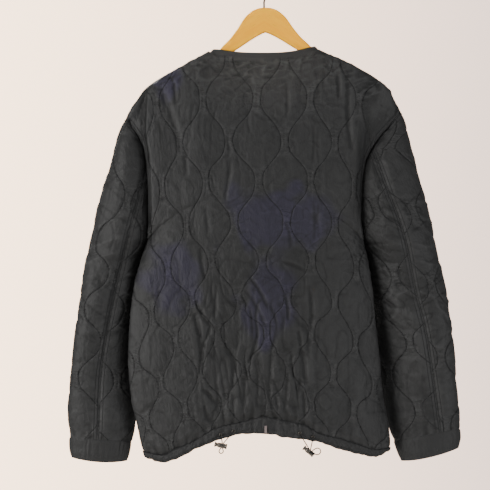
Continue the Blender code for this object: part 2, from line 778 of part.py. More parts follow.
def seam_turn(side, level):
    """Where the back seam runs round the sleeve; at the armhole it meets the sleeve's edge."""
    inner = curve_value(SLEEVE_IN["z"], SLEEVE_IN[side], level)
    if level > ARMPIT_Z:
        inner = float(side_x(side, np.array(level)))
    outer = curve_value(SLEEVE_OUT["z"], SLEEVE_OUT[side], level)
    seam = curve_value(SLEEVE_SEAM["z"], SLEEVE_SEAM[side], level)
    reach = np.clip((seam - inner) / max(outer - inner, ARMHOLE_GAP), 0, 1)
    return math.acos(2 * float(reach) - 1)


def under_turn(level):
    """The underarm seam leaves the armpit and moves a little to the front."""
    return math.pi + (UNDER_SEAM - math.pi) * float(smooth_step((ARMPIT_Z - level) / CLOSE_LENGTH))


def sleeve_surface(side, upper, gap=SEAM_TURN):
    def surface(s, level):
        seam, under = seam_turn(side, level), under_turn(level)
        if upper:
            start, end = min(seam, math.pi) - gap, under - 2 * math.pi + gap
        else:
            start, end = min(seam, math.pi - 3 * gap) + gap, under - gap
        return sleeve_point(side, blend(start, end, s), level)

    return surface


def keep_off_body(side):
    """Keeps points on the sleeve's side of the armhole."""

    def keep_side(points):
        x, y, z = points.T
        sign = SLEEVES[side]["sign"]
        low = np.where(z > ARMPIT_Z, side_x(side, z) + ARMHOLE_GAP / 2, 0)
        return np.stack([sign * np.maximum(sign * x, low), y, z], axis=1)

    return keep_side


def sleeve_reach(side):
    """Past a seam the sleeve goes on, but at the armhole it ends."""

    def reach(level):
        meets = seam_turn(side, level) < math.pi - SEAM_TURN
        return (-1 if meets or level < ARMPIT_Z else 0, 2 if level < ARMPIT_Z else 1)

    return reach


def sleeve_fabric(part):
    """The pattern of a part of a sleeve, measured from the back seam."""

    def fabric(points, run):
        z = points[:, 2]
        pinch = curve_value(SLEEVE_ROWS[part], SLEEVE_ROWS["pinch"], z)
        line = np.minimum(curve_value(SLEEVE_LINE["z"], SLEEVE_LINE[part], z), run[-1] / 2)
        return run - line, PINCH_Z - pinch * HALF_PERIOD

    return fabric


def sleeve_levels(side, top):
    """Rows at the body's own levels, so that both edges of the armhole seam agree."""
    sleeve = SLEEVES[side]
    hem = float(hem_seam_z(np.array(sleeve["sign"] * HEM_SIDE_X)))
    levels = blend(hem, sleeve["top"], row_shares())
    cuff = sleeve["cuff"] + CUFF_GAP
    inside = levels[(levels > cuff + END_CLEAR) & (levels <= top + SEAM_GAP)]
    return np.concatenate([[cuff], inside])


def sleeve_panels(side):
    sleeve = SLEEVES[side]
    left = sleeve["sign"] > 0
    levels = sleeve_levels(side, sleeve["top"])
    finish = {"keep_side": keep_off_body(side), "reach": sleeve_reach(side)}
    around = sleeve_surface(side, True, 0)
    fabric = sleeve_fabric(side + "_upper")
    upper = Panel(sleeve_surface(side, True), fabric, levels, left, around=around, **finish)
    meets = [z for z in levels if seam_turn(side, z) < math.pi - 1e-6]
    below = levels[: min(len(meets) + 1, len(levels))]
    around = sleeve_surface(side, False, 0)
    fabric = sleeve_fabric(side + "_under")
    under = Panel(sleeve_surface(side, False), fabric, below, not left, around=around, **finish)
    return {f"upper_sleeve_{side}": upper, f"under_sleeve_{side}": under}


# ---------------------------------------------------------------- bands


def loft(name, sections, closed):
    """Skin over closed sections along a path, capped at its ends unless it closes."""
    count, size = len(sections), len(sections[0])
    points = [point for section in sections for point in section]
    faces = []
    for i in range(count if closed else count - 1):
        for k in range(size):
            here, there = i * size, (i + 1) % count * size
            nxt = (k + 1) % size
            faces.append((here + k, here + nxt, there + nxt, there + k))
    if not closed:
        faces.append(tuple(range(size))[::-1])
        faces.append(tuple(range((count - 1) * size, count * size)))
    return mesh_from_faces(name, points, faces)


def cuff_mesh(name, side):
    """Elastic cuff: a doubled band in small pleats that pulls the sleeve in."""
    turns = np.linspace(0, 2 * math.pi, CUFF_POINTS, endpoint=False)
    top = SLEEVES[side]["cuff"]
    pleat = CUFF_PLEAT * np.cos(CUFF_PLEATS * turns)
    out, inside = [], []
    for share, swell, depth in CUFF_RINGS:
        ring = sleeve_point(side, turns, top - CUFF_HEIGHT * share)
        middle = ring.mean(axis=0)
        outward = unit((ring - middle) * (1, 1, 0))
        out.append(ring + outward * (swell + pleat * depth)[:, None])
        inside.append(out[-1] - outward * CUFF_THICK)
    rings = out + inside[::-1]
    return loft(name, np.stack(rings, axis=1), True)


def casing_mesh(name, panel, face):
    """Hem casing: a doubled band under a panel, gathered on the cord."""
    top = panel.edge(0, np.linspace(0, 1, CASING_POINTS[face]))
    outward = unit(np.gradient(top, axis=0)[:, [1, 0, 2]] * (1, -1, 0)) * -face
    x = top[:, 0]
    run = path_lengths(top)
    height = top[:, 2] - CASING_GAP - curve_value(HEM["x"], HEM["lower"], x)
    phase = 2 * math.pi * run / GATHER_LENGTH + GATHER_DRIFT * np.sin(run * GATHER_TURN)
    middle = EVEN_GATHERS + (1 - EVEN_GATHERS) * np.exp(-((x / GATHERED_HALF) ** 2))
    gather = CASING_GATHER * np.sin(phase) * middle
    draw_in = 1 - HEM_DRAW_IN * smooth_step((np.abs(x) - HEM_DRAW_FROM) / HEM_DRAW_WIDTH)
    sections = []
    for share, out, wave in CASING_RINGS:
        ring = top + outward * (out + gather * wave)[:, None]
        ring[:, 2] = top[:, 2] - CASING_GAP - height * share
        ring[:, 0] *= blend(1, draw_in, share)
        sections.append(keep_to_face(face)(ring))
    return loft(name, np.stack(sections, axis=1), False)


def binding_mesh(name, edge, outward, inward, step=BINDING_STEP, corners=()):
    """Bias tape folded over an edge: an oval carried along it, standing off the edge."""
    run = path_lengths(edge)
    stops = [0, *(run[corner] for corner in corners), run[-1]]
    spans = [(a, b, max(round((b - a) / step), 1)) for a, b in zip(stops, stops[1:])]
    even = np.concatenate([*(np.linspace(*span, endpoint=False) for span in spans), run[-1:]])
    path = along_path(even, run, edge)
    out = unit(along_path(even, run, outward))
    across = along_path(even, run, inward)
    across = unit(across - out * (across * out).sum(axis=1, keepdims=True))
    middle = path + across * (BINDING_GAP + BINDING_WIDTH / 2) - out[:] * WALL / 2
    angles = np.linspace(0, 2 * math.pi, BINDING_SIDES, endpoint=False)
    sections = []
    for angle in angles:
        half_wide = math.copysign(abs(math.cos(angle)) ** 0.6, math.cos(angle)) * BINDING_WIDTH / 2
        half_thick = math.copysign(abs(math.sin(angle)) ** 0.6, math.sin(angle)) * BINDING_THICK / 2
        sections.append(middle + across * half_wide + out * half_thick)
    return loft(name, np.stack(sections, axis=1), False)


def smooth_path(values, passes):
    for _ in range(passes):
        values[1:-1] = (values[:-2] + 2 * values[1:-1] + values[2:]) / 4
    return values


def neck_binding_mesh(name, panels):
    """From the left front's corner, over the back of the neck, to the right front's."""
    back, left, right = (panels[key] for key in ("back_panel", "front_panel_left", "front_panel_right"))
    pieces = []
    for panel, ends in (
        (left, (0, left.corners[0])),
        (back, (back.corners[1], back.corners[0])),
        (right, (right.corners[0], 1)),
    ):
        s = np.linspace(*ends, 40)
        pieces.append((panel.edge(1, s), panel.normals(s, 1)))
    edge = np.concatenate([piece[0] for piece in pieces])
    outward = np.concatenate([piece[1] for piece in pieces])
    keep = np.concatenate([[True], np.linalg.norm(np.diff(edge, axis=0), axis=1) > 1e-4])
    corners = [int(keep[: len(piece[0]) * n].sum()) - 1 for n, piece in enumerate(pieces, 1)][:2]
    edge, outward = edge[keep], outward[keep]
    outward = unit(smooth_path(outward, 12))
    along = np.gradient(edge, axis=0)
    inward = unit(smooth_path(np.cross(outward, along), 6))
    return binding_mesh(name, edge, outward, inward, corners=corners)


def front_binding_mesh(name, panel, s, direction):
    """Down a front edge, from under the neck binding past the hem casing."""
    rows = np.linspace(1 - NECK_BINDING_CLEAR, 0, 24)
    edge = np.array([panel.surface(np.array([s]), row)[0] for row in rows])
    foot = edge[-1] - (0, 0, CASING_HEIGHT_FRONT)
    edge = np.vstack([edge, foot])
    outward = np.tile((0.0, -1.0, 0.0), (len(edge), 1))
    inward = np.tile((float(direction), 0.0, 0.0), (len(edge), 1))
    return binding_mesh(name, edge, outward, inward, FRONT_BINDING_STEP)


# ---------------------------------------------------------------- hardware


def place(part, location, axis):
    """Stands a part on a point, with its own Z along an axis."""
    part.location = location
    part.rotation_euler = Vector(axis).to_track_quat("Z", "Y").to_euler()


def turned_mesh(name, profile, segments=14):
    """A solid turned about Z from an outer profile of radius and height, top to bottom."""
    points, faces = [(0, 0, profile[0][1])], []
    for radius, height in profile:
        for k in range(segments):
            angle = 2 * math.pi * k / segments
            points.append((radius * math.cos(angle), radius * math.sin(angle), height))
    points.append((0, 0, profile[-1][1]))
    for k in range(segments):
        nxt = (k + 1) % segments
        faces.append((0, 1 + k, 1 + nxt))
        for ring in range(len(profile) - 1):
            a, b = 1 + ring * segments, 1 + (ring + 1) * segments
            faces.append((a + k, b + k, b + nxt, a + nxt))
        last = 1 + (len(profile) - 1) * segments
        faces.append((len(points) - 1, last + nxt, last + k))
    return mesh_from_faces(name, points, faces)


def front_at(panel, x, z):
    """Point and outward direction of a front panel at a height."""
    rows = np.linspace(0, 1, 200)
    s = np.array([(x + LAP) / (panel.surface(np.array([1.0]), r)[0][0] + LAP) for r in rows])
    points = np.array([panel.surface(np.array([share]), r)[0] for share, r in zip(s, rows)])
    best = int(np.argmin(np.abs(points[:, 2] - z)))
    return points[best], panel.normals(np.array([s[best]]), rows[best])[0]


def add_snaps(panel, material, collection):
    """Snap caps down the left front's edge."""
    profile = (
        (SNAP_RADIUS * 0.78, SNAP_THICK),
        (SNAP_RADIUS, SNAP_THICK * 0.4),
        (SNAP_RADIUS, 0),
    )
    for index, z in enumerate(np.linspace(SNAP_TOP_Z, SNAP_LOW_Z, SNAP_COUNT)):
        point, outward = front_at(panel, 0.0, z)
        name = f"snap_{index + 1}"
        snap = add_object(name, turned_mesh(name, profile), material, collection)
        place(snap, Vector(point + outward * SNAP_LIFT), outward)


def hem_back_y(surface, x):
    """How far back the casing's outer face stands at a place across the hem."""
    s = np.linspace(0, 1, 400)
    points = surface(s, 0)
    return float(np.interp(x, points[:, 0], points[:, 1])) + CASING_STAND


def hem_middle_z(x, share):
    seam, lower = (float(curve_value(HEM["x"], HEM[key], np.array(x))) for key in ("seam", "lower"))
    return blend(seam, lower, share)


def eyelet_places(surface, side):
    """Where a lock's two eyelets stand on the casing."""
    places = []
    for x in LOCKS[side]["eyelets"]:
        places.append(np.array([x, hem_back_y(surface, x), hem_middle_z(x, EYELET_SHARE)]))
    return places


def add_eyelets(surface, side, material, collection):
    for spot, label in zip(eyelet_places(surface, side), ("inner", "outer")):
        bpy.ops.mesh.primitive_torus_add(
            major_radius=(EYELET_RADIUS + EYELET_HOLE) / 2,
            minor_radius=(EYELET_RADIUS - EYELET_HOLE) / 2,
            major_segments=12,
            minor_segments=5,
        )
        ring = bpy.context.object
        mesh = ring.data
        bpy.data.objects.remove(ring)
        mesh.name = f"eyelet_{side}_{label}"
        eyelet = add_object(mesh.name, mesh, material, collection)
        place(eyelet, Vector(spot), (0, 1, 0))


def lock_frame(surface, side):
    """A lock's middle, the direction of its barrel, and the way its cord runs through it."""
    lock = LOCKS[side]
    lean = math.radians(lock["lean"])
    axis = np.array([-math.cos(lean), 0, -math.sin(lean)])
    upright = np.array([-math.sin(lean), 0, math.cos(lean)])
    through = np.array([0, 1, 0]) if side == "right" else upright
    y = hem_back_y(surface, lock["x"]) + LOCK_STAND
    return np.array([lock["x"], y, lock["z"]]), axis, through


def add_lock(surface, side, material, collection, cutters):
    """Barrel with a slot for both runs of the cord, and its push button."""
    middle, axis, through = lock_frame(surface, side)
    half = LOCK_LENGTH / 2
    barrel = (
        (LOCK_FLANGE * 0.8, half),
        (LOCK_FLANGE, half - 0.0006),
        (LOCK_FLANGE, half - 0.0016),
        (LOCK_RADIUS, half - 0.0022),
        (LOCK_RADIUS, -half + 0.0010),
        (LOCK_RADIUS * 0.85, -half),
    )
    name = f"lock_{side}"
    lock = add_object(name, turned_mesh(name, barrel), material, collection)
    place(lock, Vector(middle), axis)
    bpy.ops.mesh.primitive_cube_add(size=1)
    cutter = bpy.context.object
    cutter.name = f"{name}_slot"
    for owner in list(cutter.users_collection):
        owner.objects.unlink(cutter)
    cutters.objects.link(cutter)
    turn = np.column_stack([axis, np.cross(through, axis), through])
    cutter.matrix_world = frame_matrix(middle, turn, (*LOCK_SLOT, 4 * LOCK_RADIUS))
    cutter.hide_render = True
    cutter.display_type = "WIRE"
    cut = lock.modifiers.new("slot", "BOOLEAN")
    cut.operation = "DIFFERENCE"
    cut.object = cutter
    button = (
        (BUTTON_RADIUS * 0.8, 0),
        (BUTTON_RADIUS, -0.0005),
        (BUTTON_RADIUS, -BUTTON_LENGTH + 0.0010),
        (BUTTON_RADIUS * 1.35, -BUTTON_LENGTH + 0.0008),
        (BUTTON_RADIUS * 1.25, -BUTTON_LENGTH),
    )
    name = f"lock_button_{side}"
    push = add_object(name, turned_mesh(name, button, 10), material, collection)
    place(push, Vector(middle - axis * (half + SEAM_GAP)), axis)


def frame_matrix(origin, axes, scale):
    matrix = Matrix.Identity(4)
    for column in range(3):
        for row in range(3):
            matrix[row][column] = float(axes[row, column]) * scale[column]
    for row in range(3):
        matrix[row][3] = float(origin[row])
    return matrix


def smooth_route(points, count):
    """Even points on a smooth curve through a route's own points."""
    points = np.array(points, dtype=float)
    ends = np.vstack([2 * points[0] - points[1], points, 2 * points[-1] - points[-2]])
    t = np.linspace(0, 1, 24, endpoint=False)[:, None]
    dense = []
    for p0, p1, p2, p3 in zip(ends[:-3], ends[1:-2], ends[2:-1], ends[3:]):
        line = 2 * p1 + (p2 - p0) * t + (2 * p0 - 5 * p1 + 4 * p2 - p3) * t**2
        dense.append((line + (3 * p1 - p0 - 3 * p2 + p3) * t**3) / 2)
    dense = np.vstack([*dense, points[-1:]])
    run = path_lengths(dense)
    even = np.linspace(0, run[-1], count)
    return np.stack([np.interp(even, run, dense[:, i]) for i in range(3)], axis=1)


def cord_route(surface, side):
    """Out of one eyelet, down through the lock, round a loop and back to the other."""
    first, last = eyelet_places(surface, side)
    middle, axis, through = lock_frame(surface, side)
    off = np.array([0, CORD_OFF_CLOTH, 0])
    beside = axis * CORD_APART
    if np.dot(first - last, axis) < 0:
        beside = -beside
    enter = through * (LOCK_RADIUS + CORD_OFF_CLOTH)
    leave = off * 1.4 + (0, 0.0006, -0.0012)
    leg_in = [first + off * 0.3, first + leave]
    leg_out = [last + leave, last + off * 0.3]
    if side == "left":
        wide = beside / CORD_APART * LOOP_WIDTH / 2
        loop_middle = middle - through * (LOCK_RADIUS + LOOP_DROP * 0.55)
        loop = [
            middle + beside - enter,
            loop_middle + wide,
            loop_middle - through * LOOP_DROP * 0.5,
            loop_middle - wide,
            middle - beside - enter,
        ]
        return [*leg_in, middle + beside + enter, *loop, middle - beside + enter, *leg_out]
    behind, before = middle - enter, middle + enter
    rise = np.array([0, 0, LOCK_RADIUS + SEAM_GAP * 2])
    loop_middle = middle + (0, LOCK_RADIUS + 0.0020, 0) + np.array(SIDE_LOOP_WAY) * SIDE_LOOP_REACH
    loop = [loop_middle + (x, 0, z) for x, z in zip(SIDE_LOOP["x"], SIDE_LOOP["z"])]
    drop_in = behind + beside + rise
    drop_out = behind - beside + rise
    turn = [before + beside, *loop, before - beside]
    return [*leg_in, drop_in, behind + beside, *turn, behind - beside, drop_out, *leg_out]


def tube(name, points, radius, material, collection, resolution=2):
    curve = bpy.data.curves.new(name, "CURVE")
    curve.dimensions = "3D"
    curve.bevel_depth = radius
    curve.bevel_resolution = resolution
    curve.use_fill_caps = True
    spline = curve.splines.new("POLY")
    spline.points.add(len(points) - 1)
    for target, point in zip(spline.points, points):
        target.co = (*point, 1)
    part = bpy.data.objects.new(name, curve)
    curve.materials.append(material)
    collection.objects.link(part)
    return part


def add_tab(surface, material, collection):
    """Short tape sewn upright on the casing at the centre of the back."""
    bpy.ops.mesh.primitive_cube_add(size=1)
    box = bpy.context.object
    mesh = box.data
    bpy.data.objects.remove(box)
    for vertex in mesh.vertices:
        vertex.co = [c * size for c, size in zip(vertex.co, TAB_SIZE)]
    mesh.name = "hem_tab"
    tab = add_object("hem_tab", mesh, material, collection)
    y = hem_back_y(surface, TAB_X) + TAB_SIZE[1] / 2 - TAB_SINK
    tab.location = (TAB_X, y, hem_middle_z(TAB_X, TAB_SHARE))
    bevel = tab.modifiers.new("round", "BEVEL")
    bevel.width = 0.0005
    bevel.segments = 1


# ---------------------------------------------------------------- hanger


def add_wood(material, collection):
    """Flat beech arms in one piece, their long edges rounded, tilted on the hook."""
    half = np.concatenate([np.linspace(0, WOOD_NECK_X, 10), WOOD_TOP["x"][WOOD_TOP["x"] > WOOD_NECK_X]])
    x = np.concatenate([-half[:0:-1], half])
    top = curve_value(WOOD_TOP["x"], WOOD_TOP["z"], np.abs(x))
    low = curve_value(WOOD_LOW["x"], WOOD_LOW["z"], np.abs(x))
    flat, edge = WOOD_THICK / 2 - WOOD_ROUND, WOOD_THICK / 2
    corners = (
        (flat, top),
        (edge, top - WOOD_ROUND),
        (edge, low + WOOD_ROUND),
        (flat, low),
        (-flat, low),
        (-edge, low + WOOD_ROUND),
        (-edge, top - WOOD_ROUND),
        (-flat, top),
    )
    cos, sin = math.cos(WOOD_TILT), math.sin(WOOD_TILT)
    lines = [np.stack([x * cos + z * sin, np.full_like(x, y), z * cos - x * sin], axis=1) for y, z in corners]
    mesh = loft("hanger_wood", np.stack(lines, axis=1), False)
    add_object("hanger_wood", mesh, material, collection)


def add_hook(material, collection):
    """Bent wire: most of a circle over the rail, then an S-bend into the shank."""
    radius = HOOK_INNER + WIRE_RADIUS
    angles = np.radians(np.linspace(-28, 222, 26))
    arc = [(radius * math.cos(a), 0, radius * math.sin(a) - HOOK_INNER) for a in angles]
    bend = [(-0.0080, 0, -0.0405), (-0.0022, 0, -0.0462), (0, 0, -0.0520)]
    route = smooth_route([*arc, *bend, (0, 0, -0.0570), (0, 0, SHANK_END_Z)], 34)
    tube("hanger_hook", route, WIRE_RADIUS, material, collection)


# ---------------------------------------------------------------- assembly


def main():
    for old in list(bpy.data.objects):
        bpy.data.objects.remove(old, do_unlink=True)
    jacket = bpy.data.collections.new("quilted_jacket_on_hanger")
    cutters = bpy.data.collections.new("cutters")
    bpy.context.scene.collection.children.link(jacket)
    bpy.context.scene.collection.children.link(cutters)
    paint = {name: make_material(name) for name in COLOURS}

    panels = body_panels()
    for side in SLEEVES:
        panels.update(sleeve_panels(side))
    for name, panel in panels.items():
        add_object(name, panel.mesh(name), paint["nylon"], jacket)

    back = panels["back_panel"].surface
    left, right = panels["front_panel_left"], panels["front_panel_right"]
    for name, panel, face in (
        ("hem_casing_back", panels["back_panel"], 1),
        ("hem_casing_left", left, -1),
        ("hem_casing_right", right, -1),
    ):
        add_object(name, casing_mesh(name, panel, face), paint["nylon"], jacket)
    for side in SLEEVES:
        name = f"cuff_{side}"
        add_object(name, cuff_mesh(name, side), paint["nylon"], jacket)
    mesh = neck_binding_mesh("neck_binding", panels)
    add_object("neck_binding", mesh, paint["binding"], jacket)
    for name, panel, s, way in (
        ("front_binding_left", left, 0.0, -1),
        ("front_binding_right", right, 1.0, 1),
    ):
        add_object(name, front_binding_mesh(name, panel, s, way), paint["binding"], jacket)

    add_snaps(left, paint["gunmetal"], jacket)
    add_tab(back, paint["tape"], jacket)
    for side in LOCKS:
        add_eyelets(back, side, paint["gunmetal"], jacket)
        add_lock(back, side, paint["gunmetal"], jacket, cutters)
        route = smooth_route(cord_route(back, side), CORD_POINTS)
        tube(f"cord_{side}", route, CORD_DIAMETER / 2, paint["elastic"], jacket)
    add_wood(paint["beech"], jacket)
    add_hook(paint["steel"], jacket)


main()
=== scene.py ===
"""Looks of a collarless quilted jacket that hangs on a wooden hanger, in metres.

Frame: +X is the wearer's left, +Y comes out of the jacket's back, +Z is up. The origin is
inside the top of the hook. Every cloth panel is a wall: a grid surface with the quilting,
creases and puckers worked out as heights along its normals, over a plain inside.
"""

import math

import bpy
import numpy as np
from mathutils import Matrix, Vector

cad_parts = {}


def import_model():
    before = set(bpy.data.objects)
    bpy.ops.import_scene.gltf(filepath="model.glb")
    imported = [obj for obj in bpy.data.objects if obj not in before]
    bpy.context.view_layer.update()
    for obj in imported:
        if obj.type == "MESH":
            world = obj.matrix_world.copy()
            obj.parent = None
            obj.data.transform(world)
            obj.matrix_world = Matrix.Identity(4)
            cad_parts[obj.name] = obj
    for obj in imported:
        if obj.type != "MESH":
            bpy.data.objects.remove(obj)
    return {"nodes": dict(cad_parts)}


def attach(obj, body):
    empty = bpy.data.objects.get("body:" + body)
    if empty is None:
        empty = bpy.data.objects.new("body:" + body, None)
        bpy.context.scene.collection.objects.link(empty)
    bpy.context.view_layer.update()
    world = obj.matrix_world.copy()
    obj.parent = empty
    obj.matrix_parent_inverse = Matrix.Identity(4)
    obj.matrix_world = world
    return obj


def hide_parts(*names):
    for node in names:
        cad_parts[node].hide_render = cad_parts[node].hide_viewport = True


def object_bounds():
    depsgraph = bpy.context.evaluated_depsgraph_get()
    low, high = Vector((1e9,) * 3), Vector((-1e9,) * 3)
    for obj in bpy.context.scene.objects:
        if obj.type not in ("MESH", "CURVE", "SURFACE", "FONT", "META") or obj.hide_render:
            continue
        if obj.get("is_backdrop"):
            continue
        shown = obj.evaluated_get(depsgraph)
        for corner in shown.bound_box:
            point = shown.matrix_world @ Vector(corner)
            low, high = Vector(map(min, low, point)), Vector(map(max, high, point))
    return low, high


# ---- camera: the back is looked at level, from as far as a hung garment is usually seen
VIEW_WIDTH = 0.9065
VIEW_DISTANCE = 7.0
VIEW_X, VIEW_Z = 0.0352, -0.5014
SENSOR = 36.0

# ---- wall, floor and lights
WORLD_LIGHT = 0.32       # strength with which the wall lights the jacket
WORLD_COLOUR = (1.0, 0.99, 0.98, 1)
WORLD_SEEN = 5.2         # strength with which the wall itself is seen
WALL_SPREAD = 0.065      # sine of the angle over which the wall's colour changes
WALL_LEFT = (1.0, 0.72, 0.50, 1)
WALL_RIGHT = (0.46, 0.35, 0.30, 1)
FLOOR_Z = -1.45
FLOOR_RADIUS = 1.2
JACKET_MIDDLE = (0, 0, -0.5)
# Soft lights aimed at the jacket's middle: place, size, power and colour.
AREA_LIGHTS = {
    "key": ((2.2, 1.5, -0.3), (1.5, 1.5), 56, (1.0, 0.99, 0.97)),
    "fill": ((-2.0, 1.7, -0.9), (1.8, 1.8), 27.5, (0.98, 0.99, 1.0)),
    "top": ((0.3, 0.9, 1.4), (1.4, 0.8), 9, (1.0, 1.0, 1.0)),
    "front": ((0.6, -2.2, 0.6), (1.6, 1.6), 60, (1.0, 0.99, 0.97)),
}
# A narrow warm light on the hanger's top.
SPOT_PLACE, SPOT_TARGET = (0.3, 1.5, 0.35), (0, 0, -0.058)
SPOT_POWER, SPOT_ANGLE = 225, math.radians(5.1)
SPOT_COLOUR = (1.0, 0.86, 0.62)
SPOT_BLEND, SPOT_SOFTNESS = 0.5, 0.15

# ---- cloth
WALL = 0.003             # thickness of a panel
GRID = 0.002             # spacing of a panel's outer grid
COARSE = 4               # the inside has every fourth point
THINNED = (slice(None, None, COARSE), slice(None, None, COARSE))
SEAM_GAP = 0.00004       # between the back and the fronts, and below the body's lower edge
SMOOTH_ANGLE = math.radians(50)
LATTICE = 64             # size of the noise's square of random values
RELIEF_FULL = 0.0012     # a fold this much above its surroundings is fully raised
RELIEF_PASSES = 24
WRINKLE_SHARE = 0.55     # of the crisp folds' own heights
WIDE_FROM, WIDE_RAMP = 0.020, 0.035    # upright creases start in strips of this width
TUG_REACH = 0.0080
FAR = 9.0                # a distance beyond any piece's size

# ---- quilting
PUFF = 0.0036            # height of a strip's arch, where the strip is wide enough
PUFF_FULL_WIDTH = 0.05
PUFF_SQUARE, PUFF_ROUND = 3.2, 0.75    # shape of the arch between two lines
EDGE_RAMP = 0.016        # the arches rise over this length from a seam
LINE_SPACING = 0.0513
LINE_WAVE = 0.0185       # how far a stitch line swings to each side
WAVE_ROUND = 0.06        # share of the third harmonic, which fills out the wave
HALF_PERIOD = 0.0735
BACK_LINE_X = -0.0121
FRONT_LINE_X = 0.0256
PINCH_Z = -0.2373        # where lines 0 and 1 come closest
BACK_DRIFT = 0.020       # how far the back's lines drift aside towards the hem
BACK_GATHER = 0.20       # how much closer they come there
FRONT_GATHER = 0.12
DRIFT_LENGTH = 0.483
QUILT_SAG = 0.045        # how much lower the pinches lie towards the sides
SAG_START = 0.075
SAG_WIDTH = 0.15

# ---- body
BODY_LENGTH = 0.73       # of cloth, down a panel
TOP_CROWDING = (0.1, 0.35)             # the rows come closer over this last share of the way
ARMPIT_Z = -0.497
ARMHOLE_DEPTH = 0.022
ARMHOLE_GAP = 0.0005
RIDGE_ROUND = 0.012      # radius of the cloth's turn over the shoulder
FALL_LENGTH = 0.15
NECK_HALF = 0.1005
LAP = 0.013              # how far each front passes the centre
LAP_DEPTH = 0.0090
LAP_FROM, LAP_RAMP = -0.056, 0.036
PLACKET = 0.030          # unquilted strip along each front edge
HEM_SIDE_X = 0.2265
# The back (1) and the fronts (-1): their column of DEPTH, the powers of the oval in which
# their sides close, the neckline's lowest level and its bow, and the length of cloth across.
FACES = {
    1: {"depth": "back", "power": 2.8, "root": 0.50, "neck": -0.1554, "bow": 2.6, "across": 0.48},
    -1: {"depth": "front", "power": 2.4, "root": 0.62, "neck": -0.2300, "bow": 2.2, "across": 0.26},
}

# ---- sleeves and cuffs
SLEEVES = {
    "left": {"sign": 1, "top": -0.2680, "cuff": -0.8615, "slant": 0.007},
    "right": {"sign": -1, "top": -0.2558, "cuff": -0.8530, "slant": 0.024},
}
SLANT_LENGTH = 0.20      # the cuffs' slant grows over this length
VALLEY_POWER = 4         # how narrow the flat part beside the armhole is
CLOSE_LENGTH = 0.10      # below the armpit the sleeve closes to an oval over this length
OPEN_OVAL, CLOSED_OVAL = 2.4, 0.9
UNDER_SEAM = math.radians(188)
SEAM_TURN = 0.002        # half the gap between the two parts of a sleeve, in radians
UPPER_ROUND, UNDER_ROUND = 0.23, 0.11  # lengths of cloth across the two parts
CUFF_HEIGHT = 0.036
CUFF_THICK = 0.0040
CUFF_SAG = 0.0050
CUFF_STITCH = 0.006

CUFF_HIDDEN = -0.045     # share of its height by which it starts inside the sleeve
CUFF_RADIUS = 0.045      # round which its tucks are counted
CUFF_TUCK = 0.0007
CUFF_SWELL = (0.0002, 0.0010)
CUFF_GROOVE, CUFF_GROOVE_WIDTH = 0.0004, 0.0008
SLEEVE_CROWDING = (0.15, 0.5)
ARMHOLE_SINK_WIDTH = 0.030             # how far the body's folds pull the sleeve along
ARMHOLE_TUCK, ARMHOLE_TUCK_WIDTH = 0.0036, 0.004
ARMPIT_TUCK, ARMPIT_TUCK_WIDTH = 0.0065, 0.014
ARMPIT_SINK, ARMPIT_SINK_WIDTH = 0.006, 0.016
TIP_IN, TIP_DOWN, TIP_LENGTH = 0.0016, 0.0018, 0.009

# ---- seams and gathers
WRINKLE_RAMP, SLEEVE_WRINKLE_RAMP = 0.012, 0.010   # wrinkles grow over this length from a seam
SLEEVE_WRINKLE_SHARE = 0.8
NECK_REACH = 0.062       # near the top they are stronger, and strips count as narrower
NECK_GAIN, NECK_NARROWING = 1.5, 0.75
CRIMP_SLANT = 0.18
TUCK_REACH = 0.013       # small tucks at a seam fade over this length
ROLL_WIDTH = 0.0028      # width of the edge that turns in at a seam
SIDE_ROLL, HEM_ROLL, SLEEVE_ROLL = 0.0014, 0.0010, 0.0013
ARMHOLE_ROLL, SLEEVE_TOP_ROLL = 0.0004, 0.0003
ROLL_CHANGE = 0.06       # the rolls flatten over this length above the armpit
CORNER_FLAT, CORNER_DIP, CORNER_WIDTH = 0.012, 0.0012, 0.008
HEM_WAVE, HEM_WAVE_REACH, HEM_SMALL_REACH = 0.0009, 0.018, 0.012
ELBOW_SLANT = 0.35
ELBOW_Z, ELBOW_WIDTH = -0.60, 0.08
UPPER_ARM_Z, UPPER_ARM_WIDTH, UPPER_ARM_SHARE = -0.44, 0.06, 0.8

# ---- bindings and hem casing
BINDING_WIDTH = 0.0108
BINDING_THICK = 0.0048
BINDING_LAP = 0.0014     # how far it passes the cloth's edge
BINDING_STEP = 0.002
BINDING_START = 0.978    # a front binding's top, just under the neck binding
CASING_STAND = 0.0042    # how far its outside stands behind the back's lower edge
CASING_HEIGHT_FRONT = 0.030
GATHER_LENGTH = 0.019    # one wave of the gathered hem
GATHER_DRIFT = 37        # how quickly the waves' lengths change, in radians for a metre
GATHER_WIDTH = 0.13      # the gathers are deep this far from the centre
PLEAT_LENGTH = 0.36      # the pleats that they send up end here
LOOSE_TOP = -0.50        # below this level the back's cloth is loose at the centre
CASING_GATHER = 0.0013


def table(columns, *rows):
    """Named columns of a short table, one row for each section."""
    data = np.array(rows, dtype=float).T
    return dict(zip(columns.split(), data))


